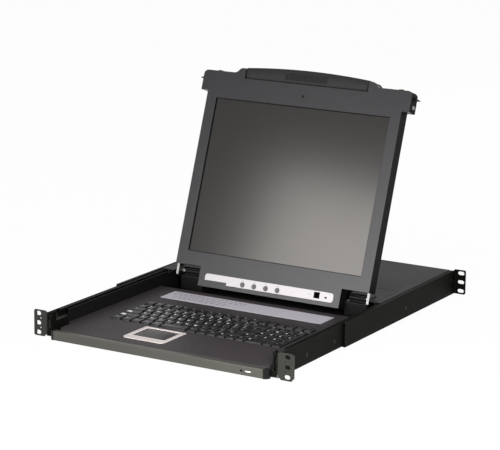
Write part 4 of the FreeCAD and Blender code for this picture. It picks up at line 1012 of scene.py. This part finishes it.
class CONSOLE_OT_hinges(bpy.types.Operator):
    """Dress the hinge blocks, arms and pins"""
    bl_idname = "console.hinges"
    bl_label = "Hinges"

    def execute(self, context):
        for node in ("left_hinge_body", "right_hinge_body"):
            bevelled(node, 0.5 * MM)
        bevelled("hinge_arms", 0.3 * MM)
        bevelled("hinge_pins", 0.25 * MM)
        return {"FINISHED"}


# ---- lid ----
class CONSOLE_OT_lid_shell(bpy.types.Operator):
    """Dress the lid's front and back halves and its latches"""
    bl_idname = "console.lid_shell"
    bl_label = "Lid shell"

    def execute(self, context):
        moulded = context.scene.console_sizes.moulded_edge
        bezel = bevelled("lid_bezel", moulded, 3)
        # The bezel's sideways faces take the darker, duller lid back paint: painted shade on the lid's sides.
        bezel.data.materials.append(FINISHES["lid_back_paint"])
        for face in bezel.data.polygons:
            if abs(face.normal.x) > 0.7:
                face.material_index = 1
        bevelled("lid_back_cover", moulded, 3)
        self.sensor()
        self.latch("left_latch", -1)
        self.latch("right_latch", 1)
        self.clips()
        return {"FINISHED"}

    def sensor(self):
        """The dark window of the sensor above the screen, a disc in the bezel's small hole."""
        front = lid_box("lid_bezel")[0].y
        window_top = lid_box("lcd_panel")[1].z - SCREEN_LAP
        disc = bmesh.new()
        turned(disc, ((SENSOR_RADIUS, 1.5 * MM), (SENSOR_RADIUS, 0.3 * MM), (SENSOR_RIM, 0.1 * MM),
                      (SENSOR_RIM, -0.02 * MM), (SENSOR_RIM - 0.3 * MM, -0.03 * MM), (0.5 * MM, 0.1 * MM)),
               (0.0, front, window_top + SENSOR_RISE), (0, 1, 0))
        lid_piece("sensor_window", disc, "display_dark")

    def latch(self, node, side):
        """A sliding latch: a blade with a slanted tip, and a thumb piece with a sloped end."""
        low, high = lid_box(node)
        tip = high.x if side > 0 else -low.x
        root = low.x if side > 0 else -high.x
        thumb = root + LATCH_THUMB
        bottom = low.z
        middle = bottom + LATCH_BLADE
        top = high.z
        blade = ((root, bottom), (tip - 2.0 * MM, bottom), (tip - 0.3 * MM, bottom + 0.5 * MM),
                 (tip, bottom + 1.2 * MM), (tip - 3.0 * MM, bottom + 2.6 * MM), (tip - 10.0 * MM, middle),
                 (root, middle))
        piece = ((root, middle - 0.5 * MM), (thumb, middle - 0.5 * MM), (thumb, top - 1.6 * MM),
                 (thumb - 1.6 * MM, top), (root + 3.0 * MM, top - 0.6 * MM), (root, top - 2.6 * MM))
        latch = bmesh.new()
        for outline, inset in ((blade, 0.5 * MM), (piece, 0.0)):
            prism(latch, [(side * x, z) for x, z in outline], (low.y + inset, high.y - inset))
        bmesh.ops.recalc_face_normals(latch, faces=latch.faces)
        made = lid_piece(node + "_slide", latch, "cap_plastic", body_of(NODES[node])[0], (node,))
        round_edges(made, 0.3 * MM)

    def clips(self):
        """The thin bright spring clips on the shoulders' sides, under the latches."""
        edge = lid_box("lid_bezel")[1].x
        clips = bmesh.new()
        for side in (-1, 1):
            inner = side * (edge - CLIP_ROOT)
            outer = side * (edge + CLIP_RISE)
            bottom, top = CLIP_HEIGHTS
            prism(clips, ((inner, bottom), (outer, bottom), (outer, top), (inner, top)), CLIP_DEPTHS)
        bmesh.ops.recalc_face_normals(clips, faces=clips.faces)
        lid_piece("shoulder_clips", clips, "bare_steel")


class CONSOLE_OT_screen(bpy.types.Operator):
    """Build the display's surface and the dark gasket around it"""
    bl_idname = "console.screen"
    bl_label = "Screen"

    def execute(self, context):
        gasket = context.scene.console_sizes.gasket
        bevelled("lcd_panel", 0.5 * MM)
        low, high = lid_box("lcd_panel")
        middle = (low + high) / 2
        half_x = (high.x - low.x) / 2 - SCREEN_LAP - 0.1 * MM
        half_z = (high.z - low.z) / 2 - SCREEN_LAP - 0.1 * MM
        hidden = gasket * 0.8
        glass = bmesh.new()
        face_slab(glass, middle.x, middle.z, half_x - hidden, half_z - hidden, 0.4 * MM,
                  low.y, low.y - 0.5 * MM)
        lid_piece("screen_face", glass, "screen_glass")
        profile = ((0.0, 0.0), (-1.2 * MM, 0.0), (-1.4 * MM, 0.2 * MM), (-1.4 * MM, gasket - 0.2 * MM),
                   (-1.2 * MM, gasket), (0.0, gasket))
        ring = bmesh.new()
        loft(ring, [facing_ring(middle.x, middle.z, half_x - inset, half_z - inset, 0.6 * MM, low.y + depth)
                    for depth, inset in profile], False, True)
        bmesh.ops.recalc_face_normals(ring, faces=ring.faces)
        lid_piece("screen_gasket", ring, "gasket")
        return {"FINISHED"}


class CONSOLE_OT_handle(bpy.types.Operator):
    """Build the moulded grip along the lid's top with its fine ribs, and a black sheet as painted shade
    between them
    """
    bl_idname = "console.handle"
    bl_label = "Handle"

    def execute(self, context):
        sizes = context.scene.console_sizes
        low, high = lid_box("lid_handle")
        front = low.y + sizes.rib_rise
        foot = low.z
        first = HANDLE_END_SHARES[0]
        shares = [-share for share in reversed(HANDLE_END_SHARES)]
        shares += [first * (step / HANDLE_STEPS - 1) for step in range(1, 2 * HANDLE_STEPS)]
        shares += HANDLE_END_SHARES
        rings = []
        for share in shares:
            top = high.z - HANDLE_DROP * share * share
            from_end = (1 - abs(share)) * high.x
            lift = HANDLE_EASE - math.sqrt(HANDLE_EASE ** 2 - max(0.0, HANDLE_EASE - from_end) ** 2)
            rings.append(self.section(share * high.x, front, high.y, foot + lift, top, lift))
        grip = bmesh.new()
        loft(grip, rings)
        bottom, top = [foot + height for height in RIB_HEIGHTS]
        for index in range(sizes.rib_count):
            x = (index - (sizes.rib_count - 1) / 2) * sizes.rib_pitch
            self.rib(grip, x, front, bottom, top, sizes.rib_rise)
        bmesh.ops.recalc_face_normals(grip, faces=grip.faces)
        # A thin black sheet behind the ribs: painted shade in the gaps between them.
        rib_gap_shade = bmesh.new()
        face_slab(rib_gap_shade, 0.0, (bottom + top) / 2, sizes.rib_pitch * sizes.rib_count / 2, RIB_GAP_SHADE_HALF_HEIGHT,
                  0.4 * MM, front + 0.1 * MM, front - 0.05 * MM)
        lid_piece("grip_band", rib_gap_shade, "cap_plastic")
        lid_piece("grip", grip, "handle_plastic", "lid", ("lid_handle",), HANDLE_SHARP)
        return {"FINISHED"}

    def section(self, x, front, back, foot, top, inset):
        """One cross-section of the grip: a full round top edge in front, softer behind."""
        points = []
        for side_y, radius, start in ((front + 5.0 * MM, 5.0 * MM, 180), (back - 1.6 * MM, 1.6 * MM, 90)):
            for step in range(7):
                angle = math.radians(start - 15 * step)
                points.append((side_y + radius * math.cos(angle), top - radius + radius * math.sin(angle)))
        points += [(back, foot + 1.0 * MM), (back - 1.0 * MM, foot), (front + 3.4 * MM, foot),
                   (front + 1.2 * MM, foot + 0.9 * MM), (front, foot + 3.2 * MM)]
        squeeze = inset * 0.4
        return [Vector((x, min(max(y, front + squeeze), back - squeeze), z)) for y, z in points]

    def rib(self, bm, x, front, low, high, rise):
        """One upright half-round rib on the grip's face, with rounded ends."""
        rings = []
        for height, share in ((low, 0.0), (low + 0.5 * MM, 0.8), (low + 1.2 * MM, 1.0),
                              (high - 1.2 * MM, 1.0), (high - 0.5 * MM, 0.8), (high, 0.0)):
            ring = []
            for step in range(7):
                angle = math.pi * step / 6
                depth = front + 0.05 * MM - rise * math.sin(angle) * share
                ring.append(Vector((x + RIB_HALF * math.cos(angle), depth, height)))
            rings.append(ring)
        loft(bm, rings)


class CONSOLE_OT_controls(bpy.types.Operator):
    """Build the control plate's buttons, readout and marks"""
    bl_idname = "console.controls"
    bl_label = "Controls"

    def execute(self, context):
        bevelled("control_plate", 0.15 * MM)
        bevelled("port_display", 0.08 * MM)
        back = lid_box("control_plate")[0].y
        front = back - 0.02 * MM
        radius = BUTTON_RADIUS
        profile = ((radius, 4.9 * MM), (radius, 0.5 * MM), (radius - 0.15 * MM, 0.15 * MM),
                   (radius - 0.5 * MM, 0.0), (radius - 0.9 * MM, 0.1 * MM), (radius * 0.5, 0.35 * MM))
        marks = bmesh.new()
        for number in range(1, 5):
            node = f"menu_button_{number}"
            low, high = lid_box(node)
            middle = (low + high) / 2
            button = bmesh.new()
            turned(button, profile, (middle.x, low.y, middle.z), (0, 1, 0), 40)
            lid_piece(node + "_cap", button, "button_plastic", f"menu_{number}", (node,))
            face_slab(marks, middle.x, middle.z + BUTTON_MARK_RISE, 2.2 * MM, 0.3 * MM, 0.1 * MM, back, front)
        low, high = lid_box("port_display")
        middle_z = (low.z + high.z) / 2
        status = bmesh.new()
        face_slab(status, high.x + STATUS_OFFSET.x, middle_z + STATUS_OFFSET.y, 2.1 * MM, 1.3 * MM, 0.2 * MM,
                  back, front)
        lid_piece("status_window", status, "display_dark")
        face_slab(marks, low.x - READOUT_MARK_OFFSET, middle_z, 4.0 * MM, 0.25 * MM, 0.1 * MM, back, front)
        lid_piece("control_marks", marks, "control_print")
        return {"FINISHED"}


# ---- fasteners ----
class CONSOLE_OT_screws(bpy.types.Operator):
    """Set the flat-headed screws of the rails and brackets, each with its hexagonal socket"""
    bl_idname = "console.screws"
    bl_label = "Screws"

    def execute(self, context):
        for side, name in ((-1, "left"), (1, "right")):
            rail = bmesh.new()
            for y in RAIL_SCREWS:
                self.head(rail, side, RAIL_FACE, y)
            drawer_piece(name + "_rail_screws", rail, "screw_metal", "chassis")
            bracket = bmesh.new()
            self.head(bracket, side, BRACKET_FACE, BRACKET_SCREW)
            drawer_piece(name + "_bracket_screw", bracket, "screw_metal", name + "_bracket")
        return {"FINISHED"}

    def head(self, bm, side, face, y):
        """A low domed head with a sunk hexagon, on a side's outer face."""
        turned(bm, SCREW_PROFILE, (side * face, y, SCREW_HEIGHT), (side, 0, 0), hexagon=SCREW_SOCKET)


# ---- rear box ----
class CONSOLE_OT_connectors(bpy.types.Operator):
    """Dress the sockets, inlet, rocker and earth screw at the back"""
    bl_idname = "console.connectors"
    bl_label = "Connectors"

    def execute(self, context):
        for node in ("computer_ports", "console_ports"):
            bevelled(node, 0.2 * MM)
        bevelled("power_inlet", 0.4 * MM)
        bevelled("power_rocker", 0.4 * MM)
        bevelled("ground_screw", 0.3 * MM)
        return {"FINISHED"}


# ---- add-on ----
OPERATORS = (CONSOLE_OT_finishes, CONSOLE_OT_stage, CONSOLE_OT_sheet_metal, CONSOLE_OT_lip, CONSOLE_OT_deck,
             CONSOLE_OT_keys, CONSOLE_OT_hinges, CONSOLE_OT_lid_shell, CONSOLE_OT_screen, CONSOLE_OT_handle,
             CONSOLE_OT_controls, CONSOLE_OT_screws, CONSOLE_OT_connectors)


class CONSOLE_PT_panel(bpy.types.Panel):
    """The console drawer's operators, sizes and colours"""
    bl_idname = "CONSOLE_PT_panel"
    bl_label = "Console drawer"
    bl_space_type = "VIEW_3D"
    bl_region_type = "UI"
    bl_category = "Console drawer"

    def draw(self, context):
        for operator in OPERATORS:
            self.layout.operator(operator.bl_idname)
        for owner in (context.scene.console_sizes, context.scene.console_colours):
            for name in owner.bl_rna.properties.keys():
                if name not in ("rna_type", "name"):
                    self.layout.prop(owner, name)


CLASSES = (ConsoleColours, ConsoleSizes) + OPERATORS + (CONSOLE_PT_panel,)


def register():
    """Add the properties, operators and panel."""
    for owner in CLASSES:
        bpy.utils.register_class(owner)
    bpy.types.Scene.console_colours = bpy.props.PointerProperty(type=ConsoleColours)
    bpy.types.Scene.console_sizes = bpy.props.PointerProperty(type=ConsoleSizes)


def unregister():
    """Take them away again."""
    del bpy.types.Scene.console_sizes
    del bpy.types.Scene.console_colours
    for owner in reversed(CLASSES):
        bpy.utils.unregister_class(owner)


def main():
    """Dress the frame."""
    register()
    bpy.ops.console.finishes()
    bpy.ops.console.stage()
    bpy.ops.console.sheet_metal()
    bpy.ops.console.lip()
    bpy.ops.console.deck()
    bpy.ops.console.keys()
    bpy.ops.console.hinges()
    bpy.ops.console.lid_shell()
    bpy.ops.console.screen()
    bpy.ops.console.handle()
    bpy.ops.console.controls()
    bpy.ops.console.screws()
    bpy.ops.console.connectors()


if __name__ == "__main__":
    main()
